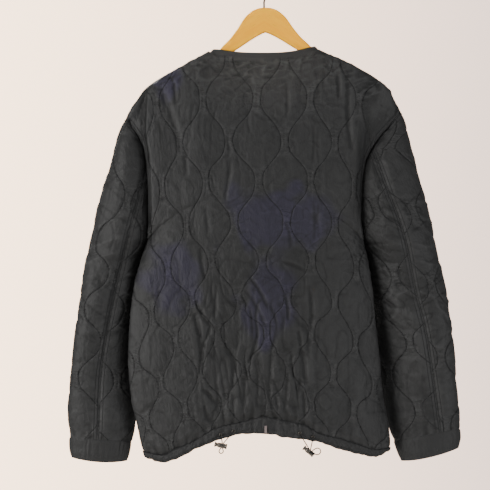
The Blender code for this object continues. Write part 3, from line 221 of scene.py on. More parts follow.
RIDGE = table(
    "x left right",
    (0.0000, -0.0980, -0.0980),
    (0.0500, -0.1195, -0.1150),
    (0.0925, -0.1406, -0.1353),
    (0.1300, -0.1593, -0.1530),
    (0.1650, -0.1777, -0.1695),
    (0.1980, -0.1961, -0.1869),
    (0.2220, -0.2146, -0.2054),
    (0.2350, -0.2331, -0.2239),
    (0.2470, -0.2505, -0.2440),
    (0.2570, -0.2680, -0.2600),
)
ARMHOLE = table(
    "share left right",
    (0.00, 0.2185, 0.1855),
    (0.20, 0.2165, 0.1820),
    (0.40, 0.2165, 0.1825),
    (0.60, 0.2185, 0.1880),
    (0.75, 0.2235, 0.2035),
    (0.85, 0.2320, 0.2220),
    (0.93, 0.2445, 0.2405),
    (1.00, 0.2570, 0.2545),
)
SIDE = table(
    "z left right left_y right_y",
    (-0.900, 0.2190, 0.2310, 0.008, 0.006),
    (-0.870, 0.2276, 0.2342, 0.009, 0.006),
    (-0.830, 0.2350, 0.2300, 0.011, 0.006),
    (-0.788, 0.2455, 0.2222, 0.014, 0.006),
    (-0.714, 0.2516, 0.2133, 0.015, 0.005),
    (-0.664, 0.2498, 0.2080, 0.014, 0.005),
    (-0.585, 0.2424, 0.2000, 0.012, 0.004),
    (-0.530, 0.2290, 0.1925, 0.006, 0.002),
    (-0.497, 0.2185, 0.1855, 0.000, 0.000),
)
DEPTH = table(
    "z back front",
    (-0.90, 0.056, 0.060),
    (-0.70, 0.056, 0.060),
    (-0.50, 0.050, 0.052),
    (-0.30, 0.042, 0.042),
    (-0.10, 0.034, 0.034),
)
HEM = table(
    "x seam lower",
    (-0.2400, -0.8740, -0.8800),
    (-0.2066, -0.8775, -0.8925),
    (-0.1739, -0.8677, -0.8862),
    (-0.1406, -0.8569, -0.8765),
    (-0.1018, -0.8465, -0.8640),
    (-0.0722, -0.8310, -0.8582),
    (-0.0389, -0.8236, -0.8547),
    (0.0000, -0.8170, -0.8484),
    (0.0326, -0.8236, -0.8484),
    (0.0888, -0.8377, -0.8608),
    (0.1277, -0.8603, -0.8775),
    (0.1610, -0.8751, -0.8947),
    (0.1887, -0.8870, -0.9023),
    (0.2350, -0.8790, -0.8900),
)
SLEEVE_OUT = table(
    "z left right y",
    (-0.9050, 0.3545, 0.3540, -0.012),
    (-0.8800, 0.3589, 0.3600, -0.012),
    (-0.8566, 0.3600, 0.3628, -0.010),
    (-0.8251, 0.3608, 0.3608, -0.008),
    (-0.7511, 0.3571, 0.3534, -0.004),
    (-0.6771, 0.3490, 0.3478, 0.000),
    (-0.6031, 0.3386, 0.3386, 0.000),
    (-0.5291, 0.3256, 0.3219, 0.000),
    (-0.4551, 0.3096, 0.3053, 0.000),
    (-0.3811, 0.2905, 0.2868, 0.000),
    (-0.3071, 0.2690, 0.2664, 0.000),
    (-0.2680, 0.2570, 0.2580, 0.000),
    (-0.2558, 0.2520, 0.2545, 0.000),
)
SLEEVE_IN = table(
    "z left right left_y right_y",
    (-0.905, 0.2555, 0.2570, -0.018, -0.014),
    (-0.862, 0.2450, 0.2400, -0.020, -0.022),
    (-0.830, 0.2390, 0.2290, -0.026, -0.032),
    (-0.760, 0.2320, 0.2140, -0.040, -0.043),
    (-0.700, 0.2310, 0.2060, -0.044, -0.044),
    (-0.640, 0.2310, 0.2010, -0.042, -0.041),
    (-0.585, 0.2300, 0.1965, -0.034, -0.034),
    (-0.550, 0.2315, 0.1955, -0.024, -0.024),
    (-0.530, 0.2310, 0.1945, -0.014, -0.014),
    (-0.512, 0.2255, 0.1915, -0.005, -0.005),
    (-0.497, 0.2192, 0.1862, 0.000, 0.000),
)
SLEEVE_DEPTH = table(
    "z half",
    (-0.905, 0.0270),
    (-0.862, 0.0310),
    (-0.800, 0.0350),
    (-0.720, 0.0385),
    (-0.600, 0.0420),
    (-0.500, 0.0430),
    (-0.420, 0.0400),
    (-0.330, 0.0310),
    (-0.284, 0.0190),
    (-0.2558, 0.0070),
)
SLEEVE_SEAM = table(
    "z left right",
    (-0.9050, 0.3095, 0.3330),
    (-0.8560, 0.3070, 0.3265),
    (-0.7567, 0.3034, 0.3127),
    (-0.6640, 0.2905, 0.2985),
    (-0.5902, 0.2757, 0.2800),
    (-0.4900, 0.2516, 0.2590),
    (-0.3940, 0.2257, 0.2250),
    (-0.3400, 0.2110, 0.2055),
    (-0.2558, 0.1900, 0.1700),
)

# Levels where two lines come together: at the centre of the back, and on each part of the
# sleeves, with the number of that pinch.
QUILT_ROWS = table(
    "z pinch",
    (-0.9200, 10.0),
    (-0.8550, 9.0),
    (-0.7900, 8.0),
    (-0.7310, 7.0),
    (-0.6650, 6.0),
    (-0.5990, 5.0),
    (-0.5310, 4.0),
    (-0.4590, 3.0),
    (-0.3850, 2.0),
    (-0.3100, 1.0),
    (-0.2320, 0.0),
    (-0.1560, -1.0),
    (-0.0800, -2.0),
)
SLEEVE_ROWS = table(
    "pinch left_upper left_under right_upper right_under",
    (-2.0, -0.196, -0.205, -0.176, -0.186),
    (0.0, -0.344, -0.345, -0.309, -0.310),
    (2.0, -0.492, -0.490, -0.442, -0.433),
    (4.0, -0.616, -0.625, -0.575, -0.557),
    (6.0, -0.747, -0.752, -0.709, -0.681),
    (8.0, -0.880, -0.885, -0.838, -0.807),
    (10.0, -1.010, -1.020, -0.970, -0.930),
)
# How far from the sleeve's back seam line 0 swings to and fro.
SLEEVE_LINE = table(
    "z left_upper left_under right_upper right_under",
    (-0.86, 0.012, 0.008, -0.013, 0.008),
    (-0.80, 0.018, 0.008, -0.010, 0.008),
    (-0.70, 0.025, 0.008, -0.004, 0.008),
    (-0.60, 0.034, 0.008, 0.006, 0.008),
    (-0.49, 0.042, 0.008, 0.008, 0.008),
    (-0.34, 0.046, 0.008, 0.006, 0.008),
)

BLUE = table(
    "x z wide high",
    (-0.015, -0.451, 0.085, 0.055),
    (-0.011, -0.600, 0.045, 0.085),
    (0.173, -0.564, 0.050, 0.055),
    (0.180, -0.199, 0.030, 0.028),
)

# Where each shoulder's deep fold runs, as a distance from the centre.
FOLD = table(
    "z left right",
    (-0.180, 0.2100, 0.1500),
    (-0.225, 0.2160, 0.1660),
    (-0.294, 0.2180, 0.1760),
    (-0.340, 0.2120, 0.1740),
    (-0.420, 0.2080, 0.1700),
    (-0.500, 0.2060, 0.1700),
)
FOLD_SLOPE = {"left": 0.008, "right": 0.020}
FOLD_DEPTH = 0.0085
FOLD_TOP = {"left": -0.170, "right": -0.215}
FOLD_END = -0.50
FOLD_CREVICE = {"left": 0.0060, "right": 0.0015}
FOLD_LIP = {"left": 0.0010, "right": 0.0}
SHADE_WIDTH = {"left": 0.010, "right": 0.018}
SHADE_EDGE = {"left": 0.0022, "right": 0.0110}
LOOSE_SHADE = 0.21       # the same for the loose cloth low on the back

# Long creases of the back: both ends, how far the middle bows aside, depth and width.
BACK_CREASES = table(
    "x0 z0 x1 z1 bow depth width",
    (0.1961, -0.2054, 0.1554, -0.3349, 0.006, 0.0016, 0.0050),
    (-0.0389, -0.1961, -0.0400, -0.2701, 0.003, 0.0012, 0.0034),
    (-0.1554, -0.1813, -0.1590, -0.3256, -0.004, 0.0022, 0.0050),
    (0.0629, -0.3441, 0.0740, -0.4181, 0.003, 0.0013, 0.0036),
    (0.1110, -0.4274, 0.1036, -0.4921, 0.002, 0.0012, 0.0036),
    (-0.0895, -0.2794, -0.0885, -0.3534, 0.002, 0.0013, 0.0030),
    (-0.0990, -0.2830, -0.1000, -0.3500, -0.002, 0.0011, 0.0030),
    (-0.0895, -0.4181, -0.0915, -0.4921, 0.002, 0.0013, 0.0030),
    (-0.0985, -0.4230, -0.0995, -0.4850, -0.001, 0.0012, 0.0028),
    (-0.0296, -0.5328, -0.0759, -0.5513, 0.003, 0.0015, 0.0030),
    (-0.0814, -0.5754, -0.0850, -0.6586, 0.003, 0.0022, 0.0045),
    (0.1165, -0.5051, 0.1073, -0.5661, -0.003, 0.0020, 0.0040),
    (0.0352, -0.5846, -0.0019, -0.6531, 0.004, 0.0016, 0.0036),
    (0.0999, -0.5754, 0.0925, -0.6346, 0.002, 0.0018, 0.0036),
    (0.1480, -0.3300, 0.1440, -0.3750, 0.002, 0.0016, 0.0040),
    (0.0720, -0.2980, 0.0640, -0.3400, 0.002, 0.0010, 0.0034),
    (0.0300, -0.2500, 0.0260, -0.2950, -0.002, 0.0009, 0.0030),
    (-0.0400, -0.4600, -0.0480, -0.5100, 0.003, 0.0013, 0.0032),
    (0.0650, -0.6900, 0.0600, -0.7700, 0.003, 0.0016, 0.0038),
    (0.0350, -0.7200, 0.0420, -0.8050, -0.003, 0.0016, 0.0034),
    (0.0130, -0.7300, 0.0150, -0.8000, 0.002, 0.0014, 0.0032),
    (-0.0150, -0.7000, -0.0120, -0.7900, -0.003, 0.0014, 0.0034),
    (-0.0420, -0.7350, -0.0360, -0.8050, 0.002, 0.0016, 0.0032),
    (-0.0650, -0.7000, -0.0600, -0.7900, 0.003, 0.0013, 0.0036),
    (0.0930, -0.7200, 0.0850, -0.8150, 0.002, 0.0016, 0.0038),
    (0.1277, -0.6255, 0.1165, -0.7400, 0.004, 0.0042, 0.0048),
    (0.1258, -0.6030, 0.0990, -0.6500, -0.003, 0.0030, 0.0034),
    (0.0980, -0.6500, 0.1147, -0.7140, -0.003, 0.0032, 0.0034),
    (0.0890, -0.5740, 0.0925, -0.6400, 0.002, 0.0024, 0.0030),
    (0.0111, -0.6550, 0.0315, -0.7220, 0.003, 0.0030, 0.0032),
    (0.0296, -0.7250, 0.0340, -0.8060, -0.004, 0.0030, 0.0034),
    (-0.0665, -0.6880, -0.0740, -0.7580, 0.002, 0.0044, 0.0060),
    (-0.0629, -0.6590, -0.0660, -0.6880, 0.001, 0.0028, 0.0034),
    (-0.0703, -0.7660, -0.0740, -0.8180, 0.001, 0.0030, 0.0040),
    (-0.0185, -0.7730, -0.0260, -0.8030, 0.001, 0.0026, 0.0032),
    (0.1147, -0.7660, 0.0890, -0.7960, 0.003, 0.0030, 0.0034),
    (0.1110, -0.7950, 0.1036, -0.8250, 0.001, 0.0030, 0.0036),
    (0.0500, -0.7100, 0.0560, -0.7700, -0.003, 0.0024, 0.0030),
    (-0.0370, -0.5920, -0.0440, -0.6400, 0.002, 0.0024, 0.0032),
    (0.0315, -0.5560, -0.0074, -0.6200, 0.004, 0.0020, 0.0030),
    (-0.1332, -0.1860, -0.1370, -0.2300, 0.002, 0.0030, 0.0036),
    (0.1720, -0.1900, 0.1640, -0.2400, 0.003, 0.0020, 0.0034),
)

# The hem casing's section, down its outside and up its inside: share of its height, how far
# out it stands, and how loosely the cloth gathers there.
CASING_PROFILE = (
    (-0.12, -0.0028, 0.1),
    (-0.01, -0.0024, 0.4),
    (0.04, 0.0000, 0.8),
    (0.14, 0.0014, 1.0),
    (0.22, 0.0016, 1.0),
    (0.30, 0.0016, 1.0),
    (0.45, 0.0020, 1.0),
    (0.60, 0.0020, 1.0),
    (0.70, 0.0019, 1.0),
    (0.76, 0.0009, 1.0),
    (0.82, 0.0014, 1.0),
    (0.88, 0.0006, 0.9),
    (0.96, -0.0006, 0.8),
    (1.00, -0.0018, 0.6),
    (0.97, -0.0034, 0.4),
    (0.70, -0.0042, 0.4),
    (0.30, -0.0040, 0.2),
    (0.00, -0.0034, 0.0),
)

# Layers of noise in the cloth, by kind: size across, size down, step of the seed, sharpness
# (0 for a smooth swell, more for a thin fold) and height.
LAYERS = {
    "warp_across": ((0.028, 0.028, 0, 0, 0.0050), (0.009, 0.009, 8, 0, 0.0015)),
    "warp_down": ((0.045, 0.045, 1, 0, 0.0070),),
    "patch": ((0.06, 0.07, 9, 0, 1.2),),
    "long": (
        (0.020, 0.080, 2, 6, 0.0004),
        (0.024, 0.070, 13, 9, -0.0016),
        (0.012, 0.042, 3, 6, -0.0007),
    ),
    "level": ((0.024, 0.0085, 4, 4, 0.0011), (0.012, 0.0055, 5, 0, 0.0005)),
    "tug": ((0.017, 0.0080, 6, 4, 0.0011),),
    "drag": ((0.035, 0.013, 10, 7, 0.0009),),
    "drag_back": ((0.034, 0.015, 11, 8, -0.0010),),
    "crinkle": ((0.011, 0.011, 12, 5, 0.0004),),
    "soft": ((0.05, 0.10, 7, 0, 0.0022),),
    "seam_tuck": ((0.0060, 0.05, 0, 0, 0.0007), (0.0034, 0.03, 1, 0, 0.00042)),
    "line_aside": ((0.022, 0.016, 0, 0, 1.0),),
    "line_level": ((0.030, 0.030, 0, 0, 1.0),),
    "hem_small": ((0.0055, 0.02, 61, 0, 0.0009),),
    "hem_lean": ((0.05, 0.09, 62, 0, 0.10),),
    "pleat": ((0.018, 0.085, 63, 5, -0.0022), (0.010, 0.055, 64, 4, 0.0011)),
    "crimp": ((0.030, 0.0075, 31, 10, 0.0026),),
    "crimp_patch": ((0.03, 0.02, 32, 0, 1.0),),
    "blue_edge": ((0.03, 0.03, 81, 0, 0.45),),
    "elbow": ((0.07, 0.030, 0, 7, 0.0013),),
    "elbow_small": ((0.035, 0.016, 1, 9, -0.0011),),
    "cuff_draw": ((0.0085, 0.05, 0, 0, 0.0018),),
    "tape_tuck": ((0.008, 0.004, 0, 0, 0.00022),),
    "cuff_uneven": ((0.016, 0.02, 0, 0, 0.45),),
    "cuff_crumple": ((0.004, 0.012, 1, 0, 0.00025), (0.020, 0.014, 2, 0, 0.0009)),
    "casing_edge": ((0.012, 1, 0, 0, 0.0012),),
    "casing_gather": ((0.009, 1, 3, 0, 0.8),),
    "casing_small": ((0.0050, 1 / 3, 1, 0, 0.0021), (0.0024, 1 / 2, 2, 0, 0.0007)),
    "casing_drop": ((0.007, 1, 4, 0, 0.0009),),
}

CORD_DIAMETER = 0.0018
LOCKS = {
    "left": {"x": 0.0768, "z": -0.8695, "lean": 12, "eyelets": (0.0560, 0.0800)},
    "right": {"x": -0.0838, "z": -0.8815, "lean": 39, "eyelets": (-0.0652, -0.0897)},
}
LOCK_HALF = 0.0075       # half the barrel's length
LOCK_STAND = 0.0040      # how far its middle stands behind the casing
LOCK_SCALE = (1.2, 1.15) # the barrel as drawn, across and along
# The right cord's loop: its bends, as places round its middle across and up.
LOOP_BENDS = (
    (0.0052, -0.0050),
    (-0.0020, -0.0062),
    (-0.0072, 0.0002),
    (-0.0022, 0.0064),
    (0.0052, 0.0042),
)
BARREL_RADIUS = 0.0036
EYELET_SHARE = 0.62      # how far down the casing the eyelets sit
EYELET_RING = 0.0020
EYELET_WIRE = (0.00072, 0.0006)
CORNER_RADIUS, CORNER_STEPS = 0.00025, 3
WIRE_RADIUS = 0.0017
HOOK_INSIDE = 0.019

# Half sections of the turned metal parts: radius, and height along the part's axis.
BARREL = (
    (0.0012, LOCK_HALF),
    (0.0034, LOCK_HALF),
    (0.0041, LOCK_HALF - 0.0006),
    (0.0041, LOCK_HALF - 0.0016),
    (0.0036, LOCK_HALF - 0.0022),
    (0.0034, LOCK_HALF - 0.0034),
    (0.0037, LOCK_HALF - 0.0042),
    (0.0037, 0.0026),
    (0.0035, 0.0020),
    (0.0035, -0.0020),
    (0.0037, -0.0026),
    (0.0037, -LOCK_HALF + 0.0022),
    (0.0034, -LOCK_HALF + 0.0016),
    (0.0036, -LOCK_HALF + 0.0008),
    (0.0031, -LOCK_HALF),
    (0.0012, -LOCK_HALF),
)
BUTTON = (
    (0.0008, 0.0002),
    (0.0026, 0.0),
    (0.0026, -0.0026),
    (0.0039, -0.0032),
    (0.0042, -0.0042),
    (0.0028, -0.0052),
    (0.0008, -0.0053),
)
SNAP = (
    (0.0006, 0.0020),
    (0.0046, 0.0019),
    (0.0056, 0.0013),
    (0.0062, 0.0010),
    (0.0062, 0.0),
    (0.0040, -0.0004),
    (0.0006, -0.0004),
)
SNAP_TOP_Z, SNAP_LOW_Z, SNAP_COUNT = -0.262, -0.790, 5
SNAP_STAND = 0.0008

WOOD_TOP = table(
    "x z",
    (0.0000, -0.0622),
    (0.0110, -0.0633),
    (0.0207, -0.0667),
    (0.0300, -0.0730),
    (0.0379, -0.0807),
    (0.0512, -0.1002),
    (0.0654, -0.1183),
    (0.0800, -0.1325),
    (0.0900, -0.1440),
    (0.1300, -0.1690),
    (0.1650, -0.1860),
    (0.1980, -0.2050),
    (0.2120, -0.2150),
)
WOOD_LOW = table(
    "x z",
    (0.2120, -0.2300),
    (0.2050, -0.2310),
    (0.1700, -0.2100),
    (0.1200, -0.1790),
    (0.0615, -0.1440),
    (0.0080, -0.1115),
    (0.0000, -0.1084),
)
WOOD_TILT = math.radians(1.3)
WOOD_HALF = 0.212
WOOD_THICK = 0.0112
WOOD_TIP = 0.0081        # length over which each arm's tip is rounded


# ---------------------------------------------------------------- numbers


def curve_value(xs, ys, x):
    """Smooth curve through a table's points that never overshoots (monotone cubic)."""
    order = np.argsort(xs)
    xs, ys = xs[order], ys[order]
    step = np.diff(xs)
    slope = np.diff(ys) / step
    same = slope[:-1] * slope[1:] > 0
    mean = 2 * slope[:-1] * slope[1:] / np.where(same, slope[:-1] + slope[1:], 1)
    tangent = np.concatenate([slope[:1], np.where(same, mean, 0), slope[-1:]])
    x = np.clip(x, xs[0], xs[-1])
    i = np.clip(np.searchsorted(xs, x) - 1, 0, len(step) - 1)
    t = (x - xs[i]) / step[i]
    h00, h10 = (1 + 2 * t) * (1 - t) ** 2, t * (1 - t) ** 2
    h01, h11 = t * t * (3 - 2 * t), t * t * (t - 1)
    bend = (h10 * tangent[i] + h11 * tangent[i + 1]) * step[i]
    return h00 * ys[i] + h01 * ys[i + 1] + bend


def look_up(rows, column, at):
    """A column of a table, as a smooth curve over the table's first column."""
    return curve_value(next(iter(rows.values())), rows[column], at)


def smooth_step(x):
    x = np.clip(x, 0, 1)
    return x * x * (3 - 2 * x)


def rises(value, start, length):
    """0 up to a start and 1 from a length above it, eased between."""
    return smooth_step((value - start) / length)


def falls(value, start, length):
    """0 down to a start and 1 from a length below it, eased between."""
    return smooth_step((start - value) / length)


def within(value, low, high, ramp):
    """1 inside a range and 0 outside it, eased at both ends."""
    return rises(value, low, ramp) * falls(value, high, ramp)


def bell(distance, width):
    """1 at no distance, fading smoothly to nothing within about two widths."""
    return np.exp(-((distance / width) ** 2))


def blend(a, b, share):
    return a + (b - a) * share


def unit(vectors):
    size = np.linalg.norm(vectors, axis=-1, keepdims=True)
    return vectors / np.maximum(size, 1e-12)


def path_lengths(points):
    """Distance run along a path at each of its points."""
    steps = np.linalg.norm(np.diff(points, axis=0), axis=1)
    return np.concatenate([[0], np.cumsum(steps)])


def along_path(at, run, points):
    return np.stack([np.interp(at, run, points[:, i]) for i in range(3)], axis=1)


def full_turn(count):
    return np.linspace(0, 2 * math.pi, count, endpoint=False)


def noise(u, v, seed):
    """Smooth noise from -1 to 1: random values on a square lattice, eased between."""
    lattice = np.random.default_rng(seed).uniform(-1, 1, (LATTICE, LATTICE))
    i, j = np.floor(u).astype(int), np.floor(v).astype(int)
    a, b = smooth_step(u - i), smooth_step(v - j)
    i, next_i = i % LATTICE, (i + 1) % LATTICE
    j, next_j = j % LATTICE, (j + 1) % LATTICE
    low = blend(lattice[i, j], lattice[next_i, j], a)
    high = blend(lattice[i, next_j], lattice[next_i, next_j], a)
    return blend(low, high, b)


def layers(kind, u, v, seed=0):
    """Sum of a kind's layers of noise: smooth swells, or thin folds where the noise is near 0."""
    total = 0
    for wide, high, step, sharp, height in LAYERS[kind]:
        field = noise(u / wide, v / high, seed + step)
        if sharp:
            field = (1 - np.abs(field)) ** sharp
        total = total + height * field
    return total


# ---------------------------------------------------------------- meshes


def link(piece):
    bpy.context.scene.collection.objects.link(piece)
    return piece


def make_mesh(name, points, quads, others, material, uv=None, channels=None):
    """Mesh from arrays, turned so that it encloses a positive volume."""
    faces = quads.tolist() + [list(face) for face in others]
    corners = points[quads]
    cross = np.cross(corners[:, 1] - corners[:, 0], corners[:, 2] - corners[:, 0])
    cross += np.cross(corners[:, 2] - corners[:, 0], corners[:, 3] - corners[:, 0])
    middle = points.mean(axis=0)
    if np.sum((corners.mean(axis=1) - middle) * cross) < 0:
        faces = [face[::-1] for face in faces]
    mesh = bpy.data.meshes.new(name)
    mesh.from_pydata(points, [], faces)
    loops = np.empty(len(mesh.loops), dtype=np.int32)
    mesh.loops.foreach_get("vertex_index", loops)
    if uv is not None:
        layer = mesh.uv_layers.new(name="cloth")
        layer.data.foreach_set("uv", uv[loops].astype(np.float32).ravel())
    for label, values in (channels or {}).items():
        attribute = mesh.attributes.new(label, "FLOAT", "POINT")
        attribute.data.foreach_set("value", values.astype(np.float32).ravel())
    mesh.shade_smooth()
    mesh.set_sharp_from_angle(angle=SMOOTH_ANGLE)
    mesh.materials.append(material)
    mesh.update()
    return link(bpy.data.objects.new(name, mesh))


def grid_quads(rows, cols, close_rows=False, close_cols=False, start=0):
    """Quads of a grid of points, joined round in either direction if asked."""
    numbers = start + np.arange(rows * cols).reshape(rows, cols)
    if close_rows:
        numbers = np.vstack([numbers, numbers[:1]])
    if close_cols:
        numbers = np.hstack([numbers, numbers[:, :1]])
    a, b = numbers[:-1, :-1], numbers[:-1, 1:]
    c, d = numbers[1:, 1:], numbers[1:, :-1]
    return np.stack([a, b, c, d], axis=-1).reshape(-1, 4)


def border(numbers):
    """Numbers round a grid's edge, once round, starting along the first row."""
    return np.concatenate([numbers[0, :-1], numbers[:-1, -1], numbers[-1, :0:-1], numbers[:0:-1, 0]])


def wall_piece(name, outer, inner, material, uv, channels):
    """A cloth wall: a fine outer grid, a coarse inner one and a rim between their edges."""
    rows, cols = outer.shape[:2]
    low_rows, low_cols = inner.shape[:2]
    count = rows * cols
    out = grid_quads(rows, cols)
    back = grid_quads(low_rows, low_cols, start=count)[:, ::-1]
    fine = border(np.arange(count).reshape(rows, cols)).reshape(-1, COARSE)
    rough = border(count + np.arange(low_rows * low_cols).reshape(low_rows, low_cols))
    rim = np.column_stack([np.roll(fine[:, 0], -1), fine[:, ::-1], rough, np.roll(rough, -1)])
    points = np.concatenate([outer.reshape(-1, 3), inner.reshape(-1, 3)])
    uv = np.concatenate([uv.reshape(-1, 2), uv[THINNED].reshape(-1, 2)])
    values = {}
    for label, field in channels.items():
        inside = field[THINNED] if label != "sewn" else np.zeros((low_rows, low_cols))
        values[label] = np.concatenate([field.ravel(), inside.ravel()])
    return make_mesh(name, points, np.concatenate([out, back]), rim.tolist(), material, uv, values)


def skin(name, sections, material, uv=None, channels=None):
    """Skin over closed sections along a path: rows of points, capped at both ends."""
    count, size = sections.shape[:2]
    quads = grid_quads(count, size, close_cols=True)
    caps = [range(size - 1, -1, -1), range((count - 1) * size, count * size)]
    return make_mesh(name, sections.reshape(-1, 3), quads, caps, material, uv, channels)


def tube_piece(name, sections, material):
    """A skin with distances round it and along it as its UV map."""
    along = path_lengths(sections.mean(axis=1))
    girth = np.linalg.norm(np.ptp(sections[0], axis=0)) * 2
    round_it, along = np.broadcast_arrays(np.linspace(0, 1, sections.shape[1]) * girth, along[:, None])
    uv = np.stack([round_it, along], axis=-1).reshape(-1, 2)
    return skin(name, sections, material, uv, {"edge": round_it.ravel()})


# ---------------------------------------------------------------- quilting


def stitch_line(number, height):
    """Where a stitch line runs across the cloth at a height: its place plus its wave."""
    turn = math.pi * (height - PINCH_Z) / HALF_PERIOD
    swing = LINE_WAVE * (np.cos(turn) - WAVE_ROUND * np.cos(3 * turn)) / (1 - WAVE_ROUND)
    return LINE_SPACING * number + np.where(number % 2 == 0, swing, -swing)


def strip_number(across, height):
    """Each point's place among the stitch lines: 2.5 is halfway from line 2 to line 3."""
    guess = np.floor(across / LINE_SPACING)
    result = np.zeros_like(across)
    for shift in (-1, 0, 1):
        low = stitch_line(guess + shift, height)
        high = stitch_line(guess + shift + 1, height)
        inside = (across >= low) & (across < high)
        result = np.where(inside, guess + shift + (across - low) / (high - low), result)
    return result


def strip_width(number, height):
    low = np.floor(number)
    return stitch_line(low + 1, height) - stitch_line(low, height)


def quilting(strip, width, ends):
    """Arched cloth between stitch lines, lower where they come close and near a seam."""
    arch = (1 - np.abs(2 * (strip % 1) - 1) ** PUFF_SQUARE) ** PUFF_ROUND
    wide = np.clip(width / PUFF_FULL_WIDTH, 0, 1) ** 0.7
    return PUFF * arch * wide * smooth_step(ends / EDGE_RAMP)


def wrinkles(u, v, strip, width, seed):
    """Upright creases in the wide strips, level puckers where lines come close, fine crinkle."""
    u = u + layers("warp_across", u, v, seed)
    v = v + layers("warp_down", u, v, seed)
    wide = rises(width, WIDE_FROM, WIDE_RAMP)
    patch = smooth_step(layers("patch", u, v, seed) + 0.55)
    from_line = np.abs((strip + 0.5) % 1 - 0.5) * width
    crisp = layers("long", u, v, seed) * wide * patch + layers("level", u, v, seed) * (1 - wide)
    crisp += layers("tug", u, v, seed) * np.exp(-from_line / TUG_REACH)
    drag = layers("drag", u + v, v - 0.6 * u, seed) + layers("drag_back", u - v, v + 0.7 * u, seed)
    crisp += drag * (1.2 - patch) + layers("crinkle", u, v, seed)
    return WRINKLE_SHARE * crisp + layers("soft", u, v, seed)


def relief(height):
    """How far each point stands above its surroundings, from -1 in a crease to 1 on a fold."""
    soft = height.copy()
    for _ in range(RELIEF_PASSES):
        soft[1:-1] = (soft[:-2] + 2 * soft[1:-1] + soft[2:]) / 4
        soft[:, 1:-1] = (soft[:, :-2] + 2 * soft[:, 1:-1] + soft[:, 2:]) / 4
    return np.clip((height - soft) / RELIEF_FULL, -1, 1)


def crease_lines(x, z, creases):
    """Valleys with a soft shoulder along bowed strokes, fading out at both ends."""
    height = np.zeros_like(x)
    for x0, z0, x1, z1, bow, depth, width in zip(*creases.values()):
        dx, dz = x1 - x0, z1 - z0
        length = math.hypot(dx, dz)
        share = ((x - x0) * dx + (z - z0) * dz) / length**2
        arc = 4 * share * (1 - share)
        aside = ((x - x0) * dz - (z - z0) * dx) / length - bow * arc
        shoulder = 0.35 * bell(aside - 2.1 * width, width)
        height += depth * (shoulder - bell(aside, width)) * np.clip(arc, 0, 1) ** 0.6
    return height


def seam_puckers(along, away, seed):
    """Small tucks that run out from a seam and fade within a finger's width."""
    return layers("seam_tuck", along, away, seed) * np.exp(-away / TUCK_REACH)


def seam_roll(away, depth):
    """The cloth turns in at a seam."""
    return -depth * bell(away, ROLL_WIDTH)


def grid_normals(points, outward):
    """Normals of a grid surface; outward is 1 or -1 for the grid's own handedness."""
    along, up = np.gradient(points, axis=1), np.gradient(points, axis=0)
    return outward * unit(np.cross(along, up))


def even_grid(length):
    """A number of points for a length, one more than a multiple of the inside's step."""
    return COARSE * max(2, round(length / GRID / COARSE)) + 1


def crowded(rows, last, strength):
    """Places of rows from 0 to 1 that come closer over the last share of the way."""
    share = np.linspace(0, 1, rows)
    return share + strength * rises(share, 1 - last, last) * (1 - share)


def row_runs(points):
    """Distance along each row of a grid, and along each column."""
    across = np.linalg.norm(np.diff(points, axis=1), axis=2)
    down = np.linalg.norm(np.diff(points, axis=0), axis=2)
    run = np.pad(np.cumsum(across, axis=1), ((0, 0), (1, 0)))
    fall = np.pad(np.cumsum(down, axis=0), ((1, 0), (0, 0)))
    return run, fall


def value_in_row(field, share):
    """Reads each row of a field at a share of its length."""
    place = np.clip(share, 0, 1) * (field.shape[1] - 1)
    low = np.clip(np.floor(place).astype(int), 0, field.shape[1] - 2)
    a = np.take_along_axis(field, low, axis=1)
    b = np.take_along_axis(field, low + 1, axis=1)
    return blend(a, b, place - low)


def cloth_channels(strip, width, height, to_plain, edge, small_relief, shaded):
    """What the nylon's finish reads at each point of a panel."""
    return {
        "strip": strip,
        "strip_width": width,
        "down": height,
        "sewn": rises(to_plain, -0.0005, 0.001),
        "edge": np.minimum(edge, 1.0),
        "relief": relief(small_relief),
        "shaded": shaded,
    }


# ---------------------------------------------------------------- body


def ridge_z(x):
    left, right = (look_up(RIDGE, side, np.abs(x)) for side in ("left", "right"))
    return np.where(x >= 0, left, right)


def armhole_share(side, z):
    """0 at the armpit, 1 at the shoulder's tip."""
    return (z - ARMPIT_Z) / (SLEEVES[side]["top"] - ARMPIT_Z)


def side_x(side, z):
    """Distance of the body's edge from the centre: the armhole, and below it the side seam."""
    armhole = look_up(ARMHOLE, side, armhole_share(side, z))
    return np.where(z > ARMPIT_Z, armhole, look_up(SIDE, side, z))


def armhole_y(side, z):
    """Half the armhole's opening at a height, as on an oval."""
    share = np.clip(armhole_share(side, z), 0, 1)
    return ARMHOLE_DEPTH * (2 * np.sqrt(share * (1 - share))) ** 0.8


def side_y(side, z):
    return np.where(z > ARMPIT_Z, 0, look_up(SIDE, side + "_y", z))


def hem_seam_z(x):
    return look_up(HEM, "seam", x)


def top_edge_z(x, face):
    """Neckline between the neck corners, and the shoulder's ridge past them."""
    low = FACES[face]["neck"]
    corner = ridge_z(np.sign(x) * NECK_HALF)
    neck = low + (corner - low) * (np.abs(x) / NECK_HALF) ** FACES[face]["bow"]
    return np.where(np.abs(x) < NECK_HALF, neck, ridge_z(x))


def body_edge(which, row):
    """Place of a panel's edge at a row: a side seam and armhole, or a straight front edge."""
    if not isinstance(which, str):
        return which + 0 * row, 0 * row
    sleeve = SLEEVES[which]
    hem = hem_seam_z(np.array(sleeve["sign"] * HEM_SIDE_X))
    z = blend(hem, sleeve["top"], row)
    return sleeve["sign"] * side_x(which, z), z


